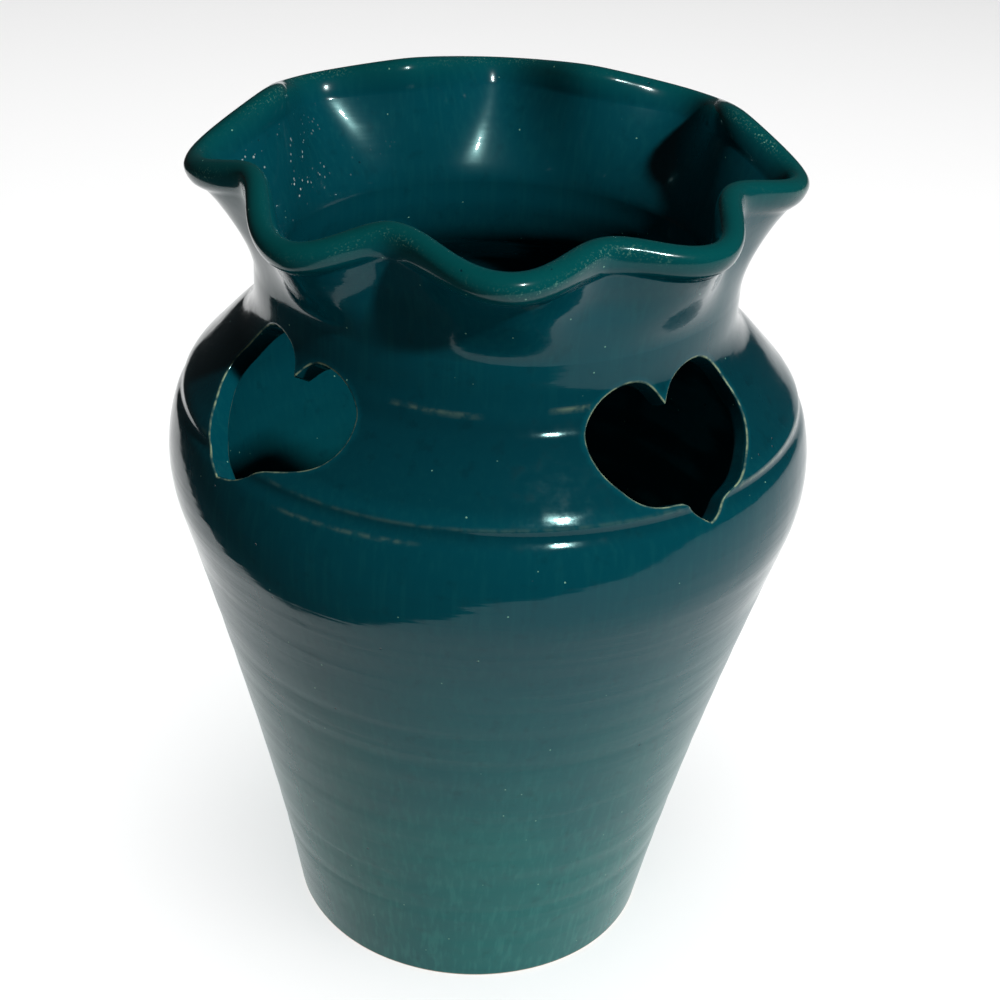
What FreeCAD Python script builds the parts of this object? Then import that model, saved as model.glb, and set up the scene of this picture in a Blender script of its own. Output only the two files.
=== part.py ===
"""A hand-thrown pottery vase, luted together from five clay sections.

The sections stack on the +Z axis: a floor slab, a lower wall, a shoulder pierced with hearts, a fluted neck
and a rolled lip. The origin is the middle of the foot. Lengths are millimetres and angles are degrees. An
azimuth is counted from the front, which faces -Y, towards +X.
"""
import FreeCAD, Part
import math
import os

import Sketcher

# Driving dimensions

SIZES = [
    ("foot_radius", 58.5, "outside of the slab where the lower wall stands on it"),
    ("foot_round", 3.0, "rounding of the slab's bottom edge"),
    ("ledge_height", 6.0, "ledge of the slab that carries the lower wall"),
    ("floor_height", 11.0, "top of the slab inside the vase"),
    ("belly_radius", 95.0, "outside at the widest line"),
    ("belly_height", 162.0, "widest line above the table"),
    ("shoulder_round", 48.0, "radius of the round that the widest line lies on"),
    ("cone_flare", 2.8, "extra flare of the lower wall where it meets the belly's round"),
    ("wall_thickness", 7.5, "thrown wall from the foot to the neck"),
    ("seam_rise", 4.0, "luted seam of the two thrown halves, above the widest line"),
    ("neck_radius", 69.5, "outside at the narrowest line of the neck"),
    ("neck_rise", 52.0, "start of the upright collar, above the widest line"),
    ("collar_rise", 5.0, "upright collar on top of the shoulder"),
    ("tongue_width", 2.6, "tongue left on a seam"),
    ("tongue_height", 4.0, "reach of a tongue into its groove"),
    ("slip_gap", 0.2, "film of slip round a tongue and under the lip"),
    ("heart_lift", 2.0, "middle of the hearts above the middle of the shoulder's height"),
    ("heart_width", 50.0, "heart across its two lobes"),
    ("heart_length", 41.5, "heart from its lobes to its tip"),
    ("heart_notch", 5.3, "notch between the two lobes"),
    ("heart_side_round", 60.0, "radius of a lower side of the heart"),
    ("heart_lean", 30.0, "upward lean of the knife that cut the hearts"),
    ("lip_radius", 77.0, "middle of the rolled lip"),
    ("lip_rise", 30.5, "middle of the rolled lip above the collar"),
    ("lobe_reach", 7.0, "pull of a full lobe outwards"),
    ("lobe_droop", 2.5, "sag of a full lobe downwards"),
    ("lip_lean", 23.0, "mean outward lean of the lip"),
    ("lobe_lean", 15.0, "extra lean of a full lobe"),
    ("lip_width", 7.5, "rolled lip across the wall"),
    ("lip_depth", 8.0, "rolled lip from its seat to its crest"),
    ("neck_top_wall", 5.5, "neck wall under the lip"),
    ("neck_upright", 6.0, "upright start of the neck wall"),
    ("flare_length", 10.0, "straight flare of the neck wall under the lip"),
    ("lip_tongue_width", 2.0, "tongue on top of the neck wall"),
    ("lip_tongue_height", 2.0, "reach of that tongue into the lip"),
]

# Azimuth and sideways tilt of each heart, cut by hand a quarter turn apart
HEARTS = [(41.0, -3.0), (131.0, 4.0), (221.0, -4.0), (309.0, -9.0)]

# Each pull of the lip: its azimuth, its share of the lobe's reach and its share of the lobe's droop
PULLS = [
    (2.0, 1.00, 0.80),
    (22.5, -0.95, 0.20),
    (43.0, 0.35, 1.00),
    (66.0, -1.45, -0.60),
    (92.0, 0.68, 1.60),
    (114.0, -0.70, -1.60),
    (136.5, 1.00, 0.80),
    (159.0, -1.00, -1.20),
    (182.0, 1.00, 0.60),
    (204.5, -1.00, -1.20),
    (227.5, 1.00, 0.80),
    (250.0, -0.80, -1.80),
    (273.0, 0.98, 1.80),
    (295.0, -0.70, -0.60),
    (320.0, 0.80, 2.00),
    (338.5, -0.85, -0.40),
]
RING_POLES = 128

# The roll's poles stand a little outside its width and depth, so that its skin reaches them
ROLL_FULLNESS = 1.1
ROLL_CORNER = 0.75

document = FreeCAD.newDocument("PotteryVase")
sheet = document.addObject("Spreadsheet::Sheet", "Sizes")
for row, (alias, value, meaning) in enumerate(SIZES, start=1):
    sheet.set("A%d" % row, meaning)
    sheet.set("B%d" % row, str(value))
    sheet.setAlias("B%d" % row, alias)
document.recompute()


def size(alias):
    """A driving dimension, read back from the sheet."""
    return float(sheet.get(alias))


# Formulas of the turned profile, in the sheet's names

WALL = "Sizes.wall_thickness"
ROUND = "Sizes.shoulder_round"
ROUND_CENTRE = "(Sizes.belly_radius - Sizes.shoulder_round)"
BELLY = "Sizes.belly_height"
LEDGE = "Sizes.ledge_height"
SEAM = "(Sizes.belly_height + Sizes.seam_rise)"
TONGUE_HALF = "(Sizes.tongue_width / 2)"
GROOVE_HALF = "(Sizes.tongue_width / 2 + Sizes.slip_gap)"
GROOVE_DEPTH = "(Sizes.tongue_height + Sizes.slip_gap)"

# The lower wall is a slightly hollow cone that runs from the ledge into the belly's round without a kink
FOOT_OFFSET = "(%s - Sizes.foot_radius)" % ROUND_CENTRE
FOOT_DROP = "(%s - %s)" % (BELLY, LEDGE)
FOOT_DISTANCE = "sqrt(%s^2 + %s^2)" % (FOOT_OFFSET, FOOT_DROP)
TANGENT_ANGLE = "(atan(%s / %s) + asin(%s / %s))" % (FOOT_OFFSET, FOOT_DROP, ROUND, FOOT_DISTANCE)
CONE_ANGLE = "(%s + Sizes.cone_flare * 1 deg)" % TANGENT_ANGLE
CONE_SPAN = "(%s + %s * cos(%s))" % (FOOT_OFFSET, ROUND, CONE_ANGLE)
CONE_RISE = "(%s - %s * sin(%s))" % (FOOT_DROP, ROUND, CONE_ANGLE)
CONE_BEND = "(%s - atan(%s / %s))" % (CONE_ANGLE, CONE_SPAN, CONE_RISE)
CONE_ROUND = "(sqrt(%s^2 + %s^2) / (2 * sin(%s)))" % (CONE_SPAN, CONE_RISE, CONE_BEND)
CONE_CENTRE = "(%s + (%s + %s) * cos(%s))" % (ROUND_CENTRE, ROUND, CONE_ROUND, CONE_ANGLE)
CONE_CENTRE_DROP = "((%s + %s) * sin(%s) - %s)" % (ROUND, CONE_ROUND, CONE_ANGLE, FOOT_DROP)
INNER_FOOT = "(%s - sqrt((%s + %s)^2 - %s^2))" % (CONE_CENTRE, CONE_ROUND, WALL, CONE_CENTRE_DROP)

# The neck's hollow meets the shoulder's round without a kink and ends upright at the neck's radius
NECK_RISE = "Sizes.neck_rise"
NECK_OFFSET = "(Sizes.neck_radius - %s)" % ROUND_CENTRE
NECK_REACH = "(%s^2 + %s^2 - %s^2)" % (NECK_OFFSET, NECK_RISE, ROUND)
NECK_ROUND = "(%s / (2 * (%s - %s)))" % (NECK_REACH, ROUND, NECK_OFFSET)
NECK = "(%s + %s)" % (BELLY, NECK_RISE)
COLLAR = "(%s + Sizes.collar_rise)" % NECK

# The heart's lobes follow from its width and its notch, and the knife passes well clear of both faces
HEART_LOBE = "(Sizes.heart_notch + Sizes.heart_width / 2 - sqrt(Sizes.heart_notch * Sizes.heart_width))"
HEART_HEIGHT = "((%s + %s) / 2 + Sizes.heart_lift)" % (SEAM, COLLAR)
KNIFE_REACH = "(Sizes.heart_width / 2 + %s)" % WALL


def on_round(inset, height):
    """Radius of the belly's round at a height, on a surface inset from the outside."""
    return "(%s + sqrt((%s - %s)^2 - (%s - %s)^2))" % (ROUND_CENTRE, ROUND, inset, height, BELLY)


def cone_top(inset):
    """Corner where the cone meets the belly's round, on a surface inset from the outside."""
    radius = "(%s + (%s - %s) * cos(%s))" % (ROUND_CENTRE, ROUND, inset, CONE_ANGLE)
    height = "(%s - (%s - %s) * sin(%s))" % (BELLY, ROUND, inset, CONE_ANGLE)
    return radius, height


def shoulder_turn(inset):
    """Corner where the shoulder's round turns into the neck's hollow, inset from the outside."""
    share = "((%s - %s) / (%s + %s))" % (ROUND, inset, ROUND, NECK_ROUND)
    radius = "(%s + %s * (%s + %s))" % (ROUND_CENTRE, share, NECK_OFFSET, NECK_ROUND)
    height = "(%s + %s * %s)" % (BELLY, share, NECK_RISE)
    return radius, height


def origin_plane(body, role):
    """One of the body's own origin planes."""
    return next(feature for feature in body.Origin.OriginFeatures if feature.Role == role)


def pin_corner(sketch, geometry, end, radius, height):
    """Holds the end of a line or arc at a radius and a height given as formulas."""
    for kind, axis, formula in (("DistanceX", -2, radius), ("DistanceY", -1, height)):
        if formula == "0":
            sketch.addConstraint(Sketcher.Constraint("PointOnObject", geometry, end, axis))
            continue
        value = sheet.evalExpression(formula)
        index = sketch.addConstraint(Sketcher.Constraint(kind, -1, 1, geometry, end, value))
        sketch.setExpression("Constraints[%d]" % index, formula)


def bend_between(start, end, bend):
    """An arc through two corners, and whether it runs from the first corner to the second."""
    radius, hollow = bend
    radius = sheet.evalExpression(radius)
    middle = (start + end) / 2
    along = end - start
    across = FreeCAD.Vector(-along.y, along.x, 0).normalize()
    set_back = math.sqrt(radius ** 2 - (along.Length / 2) ** 2)
    centre = middle - across * set_back if hollow else middle + across * set_back
    angles = [math.atan2(corner.y - centre.y, corner.x - centre.x) for corner in (start, end)]
    forward = not hollow
    if not forward:
        angles.reverse()
    circle = Part.Circle(centre, FreeCAD.Vector(0, 0, 1), radius)
    return Part.ArcOfCircle(circle, angles[0], angles[1]), forward


def turned_body(label, outline):
    """A body turned about Z from corners (radius, height, bend), counter-clockwise in the XZ plane.

    A bend is None for a straight side to the next corner, or the radius of an arc and whether it is hollow.
    """
    body = document.addObject("PartDesign::Body", label)
    body.Label = label
    sketch = body.newObject("Sketcher::SketchObject", label + "_profile")
    sketch.AttachmentSupport = [(origin_plane(body, "XZ_Plane"), "")]
    sketch.MapMode = "FlatFace"
    corners = [
        FreeCAD.Vector(sheet.evalExpression(radius), sheet.evalExpression(height), 0)
        for radius, height, _ in outline
    ]
    ends = []
    for number, (radius, height, bend) in enumerate(outline):
        start = corners[number]
        end = corners[(number + 1) % len(corners)]
        forward = True
        side = Part.LineSegment(start, end)
        if bend:
            side, forward = bend_between(start, end, bend)
        geometry = sketch.addGeometry(side, False)
        ends.append((geometry, 1, 2) if forward else (geometry, 2, 1))
    for number, (radius, height, bend) in enumerate(outline):
        geometry, first, last = ends[number]
        before, _, before_last = ends[number - 1]
        sketch.addConstraint(Sketcher.Constraint("Coincident", before, before_last, geometry, first))
        pin_corner(sketch, geometry, first, radius, height)
        if bend:
            value = sheet.evalExpression(bend[0])
            index = sketch.addConstraint(Sketcher.Constraint("Radius", geometry, value))
            sketch.setExpression("Constraints[%d]" % index, bend[0])
    document.recompute()
    turning = body.newObject("PartDesign::Revolution", label + "_turned")
    turning.Profile = sketch
    turning.ReferenceAxis = (sketch, ["V_Axis"])
    turning.Angle = 360.0
    body.Tip = turning
    document.recompute()
    return body


def make_floor_slab():
    """The clay disc that the vase stands on, with a ledge and a raised middle that centre the wall."""
    edge = "(Sizes.foot_radius - Sizes.foot_round)"
    spigot = "(%s - Sizes.slip_gap)" % INNER_FOOT
    outline = [
        ("0", "0", None),
        (edge, "0", ("Sizes.foot_round", False)),
        ("Sizes.foot_radius", "Sizes.foot_round", None),
        ("Sizes.foot_radius", LEDGE, None),
        (spigot, LEDGE, None),
        (spigot, "Sizes.floor_height", None),
        ("0", "Sizes.floor_height", None),
    ]
    return turned_body("floor_slab", outline)


def make_lower_wall():
    """The thrown cone from the slab up past the widest line, with a groove in its top edge."""
    outer = cone_top("0")
    inner = cone_top(WALL)
    middle = on_round("%s / 2" % WALL, SEAM)
    groove_floor = "(%s - %s)" % (SEAM, GROOVE_DEPTH)
    outline = [
        (INNER_FOOT, LEDGE, None),
        ("Sizes.foot_radius", LEDGE, (CONE_ROUND, True)),
        (outer[0], outer[1], (ROUND, False)),
        (on_round("0", SEAM), SEAM, None),
        ("(%s + %s)" % (middle, GROOVE_HALF), SEAM, None),
        ("(%s + %s)" % (middle, GROOVE_HALF), groove_floor, None),
        ("(%s - %s)" % (middle, GROOVE_HALF), groove_floor, None),
        ("(%s - %s)" % (middle, GROOVE_HALF), SEAM, None),
        (on_round(WALL, SEAM), SEAM, ("(%s - %s)" % (ROUND, WALL), True)),
        (inner[0], inner[1], ("(%s + %s)" % (CONE_ROUND, WALL), False)),
    ]
    return turned_body("lower_wall", outline)


def cut_heart(body, number, azimuth, tilt):
    """A heart cut square through one side of the shoulder."""
    turn = math.radians(azimuth)
    lean = "(Sizes.heart_lean * 1 deg)"
    stand_radius = "(%s + %s * cos(%s))" % (on_round("0", HEART_HEIGHT), KNIFE_REACH, lean)
    stand_height = "(%s + %s * sin(%s))" % (HEART_HEIGHT, KNIFE_REACH, lean)
    sketch = body.newObject("Sketcher::SketchObject", "heart_%d_outline" % number)
    sketch.AttachmentSupport = [(origin_plane(body, "XY_Plane"), "")]
    sketch.MapMode = "FlatFace"
    facing = FreeCAD.Rotation(FreeCAD.Vector(0, 0, 1), azimuth)
    facing = facing.multiply(FreeCAD.Rotation(FreeCAD.Vector(1, 0, 0), 90.0 - size("heart_lean")))
    facing = facing.multiply(FreeCAD.Rotation(FreeCAD.Vector(0, 0, 1), tilt))
    sketch.AttachmentOffset = FreeCAD.Placement(FreeCAD.Vector(0, 0, 0), facing)
    sketch.setExpression("AttachmentOffset.Base.x", "%s * %.9f" % (stand_radius, math.sin(turn)))
    sketch.setExpression("AttachmentOffset.Base.y", "%s * %.9f" % (stand_radius, -math.cos(turn)))
    sketch.setExpression("AttachmentOffset.Base.z", stand_height)
    draw_heart(sketch)
    document.recompute()
    whole = body.Shape.Volume
    cut = body.newObject("PartDesign::Pocket", "heart_%d" % number)
    cut.Profile = sketch
    cut.Type = 0
    cut.setExpression("Length", "2 * %s" % KNIFE_REACH)
    body.Tip = cut
    document.recompute()
    if body.Shape.Volume > whole - size("heart_width") * size("wall_thickness"):
        raise RuntimeError("heart %d cut nothing" % number)


def draw_heart(sketch):
    """Two round lobes and two long sides that run smoothly into them and meet at the tip."""
    lobe = sheet.evalExpression(HEART_LOBE)
    side = size("heart_side_round")
    lobe_x = size("heart_width") / 2 - lobe
    lobe_y = size("heart_length") / 2 - lobe
    tip_y = -size("heart_length") / 2
    notch_y = lobe_y + math.sqrt(lobe ** 2 - lobe_x ** 2)
    reach = math.hypot(lobe_x, lobe_y - tip_y)
    swing = math.acos((side ** 2 + reach ** 2 - (side - lobe) ** 2) / (2 * side * reach))
    bearing = math.atan2(lobe_y - tip_y, lobe_x) + swing
    side_x = side * math.cos(bearing)
    side_y = tip_y + side * math.sin(bearing)
    join = math.atan2(lobe_y - side_y, lobe_x - side_x)
    tip_angle = math.atan2(tip_y - side_y, -side_x)
    notch_angle = math.atan2(notch_y - lobe_y, -lobe_x)
    up = FreeCAD.Vector(0, 0, 1)
    arcs = [
        (lobe_x, lobe_y, lobe, join, notch_angle),
        (side_x, side_y, side, tip_angle, join),
        (-side_x, side_y, side, math.pi - join, math.pi - tip_angle),
        (-lobe_x, lobe_y, lobe, math.pi - notch_angle, math.pi - join),
    ]
    for x, y, radius, start, end in arcs:
        circle = Part.Circle(FreeCAD.Vector(x, y, 0), up, radius)
        sketch.addGeometry(Part.ArcOfCircle(circle, start, end), False)
    sketch.addConstraint(Sketcher.Constraint("Coincident", 0, 2, 3, 1))
    sketch.addConstraint(Sketcher.Constraint("Tangent", 1, 2, 0, 1))
    sketch.addConstraint(Sketcher.Constraint("Tangent", 3, 2, 2, 1))
    sketch.addConstraint(Sketcher.Constraint("Coincident", 1, 1, 2, 2))
    sketch.addConstraint(Sketcher.Constraint("PointOnObject", 1, 1, -2))
    half_span = "(Sizes.heart_width / 2 - %s)" % HEART_LOBE
    lobe_rise = "(Sizes.heart_length / 2 - %s)" % HEART_LOBE
    distances = [
        ("Radius", (0,), HEART_LOBE),
        ("Radius", (3,), HEART_LOBE),
        ("Radius", (1,), "Sizes.heart_side_round"),
        ("Radius", (2,), "Sizes.heart_side_round"),
        ("DistanceX", (-1, 1, 0, 3), half_span),
        ("DistanceX", (3, 3, -1, 1), half_span),
        ("DistanceY", (-1, 1, 0, 3), lobe_rise),
        ("DistanceY", (-1, 1, 3, 3), lobe_rise),
        ("DistanceY", (1, 1, -1, 1), "(Sizes.heart_length / 2)"),
    ]
    for kind, places, formula in distances:
        value = sheet.evalExpression(formula)
        index = sketch.addConstraint(Sketcher.Constraint(kind, *places, value))
        sketch.setExpression("Constraints[%d]" % index, formula)


def make_pierced_shoulder():
    """The round shoulder with its upright collar, a tongue at both edges and a ring of hearts."""
    outer = shoulder_turn("0")
    inner = shoulder_turn(WALL)
    foot = on_round("%s / 2" % WALL, SEAM)
    head = "(Sizes.neck_radius - %s / 2)" % WALL
    tongue_foot = "(%s - Sizes.tongue_height)" % SEAM
    tongue_head = "(%s + Sizes.tongue_height)" % COLLAR
    outline = [
        (on_round(WALL, SEAM), SEAM, None),
        ("(%s - %s)" % (foot, TONGUE_HALF), SEAM, None),
        ("(%s - %s)" % (foot, TONGUE_HALF), tongue_foot, None),
        ("(%s + %s)" % (foot, TONGUE_HALF), tongue_foot, None),
        ("(%s + %s)" % (foot, TONGUE_HALF), SEAM, None),
        (on_round("0", SEAM), SEAM, (ROUND, False)),
        (outer[0], outer[1], (NECK_ROUND, True)),
        ("Sizes.neck_radius", NECK, None),
        ("Sizes.neck_radius", COLLAR, None),
        ("(%s + %s)" % (head, TONGUE_HALF), COLLAR, None),
        ("(%s + %s)" % (head, TONGUE_HALF), tongue_head, None),
        ("(%s - %s)" % (head, TONGUE_HALF), tongue_head, None),
        ("(%s - %s)" % (head, TONGUE_HALF), COLLAR, None),
        ("(Sizes.neck_radius - %s)" % WALL, COLLAR, None),
        ("(Sizes.neck_radius - %s)" % WALL, NECK, ("(%s + %s)" % (NECK_ROUND, WALL), False)),
        (inner[0], inner[1], ("(%s - %s)" % (ROUND, WALL), True)),
    ]
    body = turned_body("pierced_shoulder", outline)
    for number, (azimuth, tilt) in enumerate(HEARTS, start=1):
        cut_heart(body, number, azimuth, tilt)
    return body


def lip_shares(azimuth):
    """Shares of the reach and of the droop at an azimuth, eased from one pull of the lip to the next."""
    ring = PULLS + [(turn + 360.0, reach, droop) for turn, reach, droop in PULLS[:1]]
    azimuth = (azimuth - PULLS[0][0]) % 360.0 + PULLS[0][0]
    for (turn, reach, droop), (next_turn, next_reach, next_droop) in zip(ring, ring[1:]):
        if azimuth <= next_turn:
            ease = (1 - math.cos(math.pi * (azimuth - turn) / (next_turn - turn))) / 2
            return reach + (next_reach - reach) * ease, droop + (next_droop - droop) * ease
    return PULLS[0][1], PULLS[0][2]


def lip_stations():
    """Middle of the lip round the ring, with the two directions of its section: across and up the wall."""
    collar = sheet.evalExpression(COLLAR)
    middles = []
    leans = []
    for number in range(RING_POLES):
        azimuth = 360.0 * number / RING_POLES
        reach, droop = lip_shares(azimuth)
        radius = size("lip_radius") + size("lobe_reach") * reach
        height = collar + size("lip_rise") - size("lobe_droop") * droop
        turn = math.radians(azimuth)
        middles.append(FreeCAD.Vector(radius * math.sin(turn), -radius * math.cos(turn), height))
        leans.append(math.radians(size("lip_lean") + size("lobe_lean") * reach))
    stations = []
    for number, (middle, lean) in enumerate(zip(middles, leans)):
        along = middles[(number + 1) % RING_POLES] - middles[number - 1]
        outward = FreeCAD.Vector(along.y, -along.x, 0).normalize()
        across = outward * math.cos(lean) - FreeCAD.Vector(0, 0, math.sin(lean))
        rising = outward * math.sin(lean) + FreeCAD.Vector(0, 0, math.cos(lean))
        stations.append((middle, across, rising))
    return stations


def lip_ring(stations, across, up):
    """A ring of poles at one place of the lip's section."""
    return [middle + side * across + rising * up for middle, side, rising in stations]


def level_ring(radius, height):
    """A level round ring of poles."""
    turns = [2 * math.pi * number / RING_POLES for number in range(RING_POLES)]
    return [FreeCAD.Vector(radius * math.sin(turn), -radius * math.cos(turn), height) for turn in turns]


def ring_face(rings, degree):
    """A face that is smooth round the axis and runs from the first ring of poles to the last."""
    spans = len(rings) - degree
    poles = [list(column) for column in zip(*rings)]
    around_knots = [float(number) for number in range(RING_POLES + 1)]
    across_knots = [float(number) for number in range(spans + 1)]
    across_repeats = [degree + 1] + [1] * (spans - 1) + [degree + 1]
    surface = Part.BSplineSurface()
    surface.buildFromPolesMultsKnots(
        poles, [1] * (RING_POLES + 1), across_repeats, around_knots, across_knots, True, False, 3, degree
    )
    return surface.toShape()


def solid_of(faces):
    """The solid that a closed set of ring faces bounds."""
    shell = Part.makeShell(faces)
    shell.sewShape()
    solid = Part.makeSolid(shell)
    if solid.Volume < 0:
        solid.reverse()
    return solid


def straight_faces(rings):
    """Ruled faces from each ring to the next."""
    return [ring_face([first, second], 1) for first, second in zip(rings, rings[1:])]


def make_fluted_neck():
    """The neck wall, round at the collar and waved under the lip, with a groove below and a tongue above."""
    stations = lip_stations()
    collar = sheet.evalExpression(COLLAR)
    seat = -size("lip_depth") / 2
    half_top = size("neck_top_wall") / 2
    half_tongue = size("lip_tongue_width") / 2
    tongue_top = seat + size("lip_tongue_height")
    outer_radius = size("neck_radius")
    inner_radius = outer_radius - size("wall_thickness")
    sides = []
    for radius, across in ((outer_radius, half_top), (inner_radius, -half_top)):
        sides.append([
            level_ring(radius, collar),
            level_ring(radius, collar + size("neck_upright")),
            lip_ring(stations, across, seat - size("flare_length")),
            lip_ring(stations, across, seat),
        ])
    crest = [
        sides[0][-1],
        lip_ring(stations, half_tongue, seat),
        lip_ring(stations, half_tongue, tongue_top),
        lip_ring(stations, -half_tongue, tongue_top),
        lip_ring(stations, -half_tongue, seat),
        sides[1][-1],
    ]
    faces = [ring_face(side, 3) for side in sides]
    faces += straight_faces(crest)
    faces += straight_faces([sides[0][0], sides[1][0]])
    wall = solid_of(faces)
    middle = outer_radius - size("wall_thickness") / 2
    half_groove = size("tongue_width") / 2 + size("slip_gap")
    groove_depth = size("tongue_height") + size("slip_gap")
    base = FreeCAD.Vector(0, 0, collar)
    groove = Part.makeCylinder(middle + half_groove, groove_depth, base)
    groove = groove.cut(Part.makeCylinder(middle - half_groove, groove_depth, base))
    neck = document.addObject("Part::Feature", "fluted_neck")
    neck.Label = "fluted_neck"
    neck.Shape = wall.cut(groove).Solids[0]
    neck.Placement = FreeCAD.Placement()
    return neck


def make_rolled_lip():
    """The roll of clay along the top of the neck, with a groove that takes the neck's tongue."""
    stations = lip_stations()
    gap = size("slip_gap")
    seat = gap - size("lip_depth") / 2
    crest = size("lip_depth") / 2
    half_seat = size("neck_top_wall") / 2
    half_groove = size("lip_tongue_width") / 2 + gap
    groove_top = seat + size("lip_tongue_height")
    bulge = size("lip_width") / 2
    corner = bulge * ROLL_CORNER
    full = bulge * ROLL_FULLNESS
    roll = [
        (half_seat, seat),
        (bulge, seat),
        (full, 0.0),
        (corner, crest),
        (0.0, crest * ROLL_FULLNESS),
        (-corner, crest),
        (-full, 0.0),
        (-bulge, seat),
        (-half_seat, seat),
    ]
    underside = [
        (-half_seat, seat),
        (-half_groove, seat),
        (-half_groove, groove_top),
        (half_groove, groove_top),
        (half_groove, seat),
        (half_seat, seat),
    ]
    faces = [ring_face([lip_ring(stations, across, up) for across, up in roll], 3)]
    faces += straight_faces([lip_ring(stations, across, up) for across, up in underside])
    lip = document.addObject("Part::Feature", "rolled_lip")
    lip.Label = "rolled_lip"
    lip.Shape = solid_of(faces)
    lip.Placement = FreeCAD.Placement()
    return lip


sections = [
    make_floor_slab(),
    make_lower_wall(),
    make_pierced_shoulder(),
    make_fluted_neck(),
    make_rolled_lip(),
]
document.recompute()

# Every feature has to be sound before a section is written
for feature in document.Objects:
    if "Invalid" in feature.State or "Error" in feature.State:
        raise RuntimeError("%s failed: %s" % (feature.Name, feature.State))
for section in sections:
    shape = section.Shape
    if shape.isNull() or not shape.isValid() or len(shape.Solids) != 1:
        raise RuntimeError("%s is not one sound solid" % section.Label)

os.makedirs("parts", exist_ok=True)
for section in sections:
    section.Shape.exportStep("parts/%s.step" % section.Label)
    box = section.Shape.optimalBoundingBox()
    print("%s: %.0f mm3, z %.1f to %.1f, x %.1f to %.1f" % (
        section.Label, section.Shape.Volume, box.ZMin, box.ZMax, box.XMin, box.XMax
    ))
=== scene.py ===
# %% [markdown]
# # A teal vase with cut hearts, built on its CAD frame
#
# This lesson dresses a plain engineering model of a hand-thrown vase, so that it looks like clay that was
# turned, pierced, glazed and fired. The CAD frame says where every piece is and how large. Blender adds
# what CAD leaves out: the rings that fingers left, the soft cut edges, the way the glaze ran, and the
# light.
#
# The frame is loaded first, because every piece below is measured from it.

# %% Load the frame
import math

import bpy
import numpy as np
from mathutils import Matrix, Vector
from mathutils.geometry import delaunay_2d_cdt


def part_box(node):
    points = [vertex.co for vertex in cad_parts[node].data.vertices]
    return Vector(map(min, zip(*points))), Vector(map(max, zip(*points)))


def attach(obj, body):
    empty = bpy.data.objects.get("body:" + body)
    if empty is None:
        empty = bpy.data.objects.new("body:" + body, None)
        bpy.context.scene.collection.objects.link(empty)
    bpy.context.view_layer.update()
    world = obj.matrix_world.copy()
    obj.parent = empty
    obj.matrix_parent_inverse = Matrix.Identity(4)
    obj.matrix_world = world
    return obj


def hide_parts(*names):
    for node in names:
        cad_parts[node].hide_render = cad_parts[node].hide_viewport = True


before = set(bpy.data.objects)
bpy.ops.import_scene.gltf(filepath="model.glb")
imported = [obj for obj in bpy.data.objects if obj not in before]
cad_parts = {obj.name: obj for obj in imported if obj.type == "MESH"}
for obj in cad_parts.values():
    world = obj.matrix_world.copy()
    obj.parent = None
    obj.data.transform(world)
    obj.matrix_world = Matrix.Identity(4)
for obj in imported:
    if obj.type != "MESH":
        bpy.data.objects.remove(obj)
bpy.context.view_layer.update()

print("Frame nodes:", ", ".join(sorted(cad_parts)))

# %% [markdown]
# ## The potter's sizes
#
# A potter works with a rib and a pair of callipers, so a pot is a few heights and radii joined by round
# curves. All of them could be typed in, but then the dressed pieces would stay behind when the frame
# changes. So what shows in the frame is read from its boxes, and only the rest is written in millimetres.
# MM turns it into Blender's metres. The lines after that work out the arcs that join the cone, the
# shoulder and the neck.

# %% Sizes of the turned body
MM = 0.001
FOOT_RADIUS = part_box("floor_slab")[1].x
FLOOR_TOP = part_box("floor_slab")[1].z
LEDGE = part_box("lower_wall")[0].z
LOWER_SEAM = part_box("lower_wall")[1].z
BELLY_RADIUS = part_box("lower_wall")[1].x
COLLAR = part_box("fluted_neck")[0].z
BELLY_HEIGHT = 162 * MM
SHOULDER_ROUND = 48 * MM
CONE_FLARE = math.radians(2.8)
NECK_RADIUS = 69.5 * MM
NECK_HEIGHT = 214 * MM
WALL = 7.5 * MM

round_centre = BELLY_RADIUS - SHOULDER_ROUND
neck_out = NECK_RADIUS - round_centre
neck_rise = NECK_HEIGHT - BELLY_HEIGHT
neck_round = (neck_out**2 + neck_rise**2 - SHOULDER_ROUND**2) / (2 * (SHOULDER_ROUND - neck_out))
foot_in = round_centre - FOOT_RADIUS
foot_drop = BELLY_HEIGHT - LEDGE
foot_reach = math.hypot(foot_in, foot_drop)
cone = math.atan(foot_in / foot_drop) + math.asin(SHOULDER_ROUND / foot_reach) + CONE_FLARE
cone_span = foot_in + SHOULDER_ROUND * math.cos(cone)
cone_rise = foot_drop - SHOULDER_ROUND * math.sin(cone)
cone_bend = cone - math.atan(cone_span / cone_rise)
cone_round = math.hypot(cone_span, cone_rise) / (2 * math.sin(cone_bend))
cone_centre = round_centre + (SHOULDER_ROUND + cone_round) * math.cos(cone)
cone_height = BELLY_HEIGHT - (SHOULDER_ROUND + cone_round) * math.sin(cone)
print(f"The wall leans {math.degrees(cone):.1f} degrees outwards where it meets the shoulder's round")

# %% [markdown]
# ## The wall's line
#
# On the wheel the wall is one line spun round: a faintly bowed cone, a round shoulder and a small hollow
# below the neck. A Screw modifier could spin a drawn curve, but the hearts and the waved lip need to know
# where the wall is at any place, so the line is kept as a formula of height.

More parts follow.
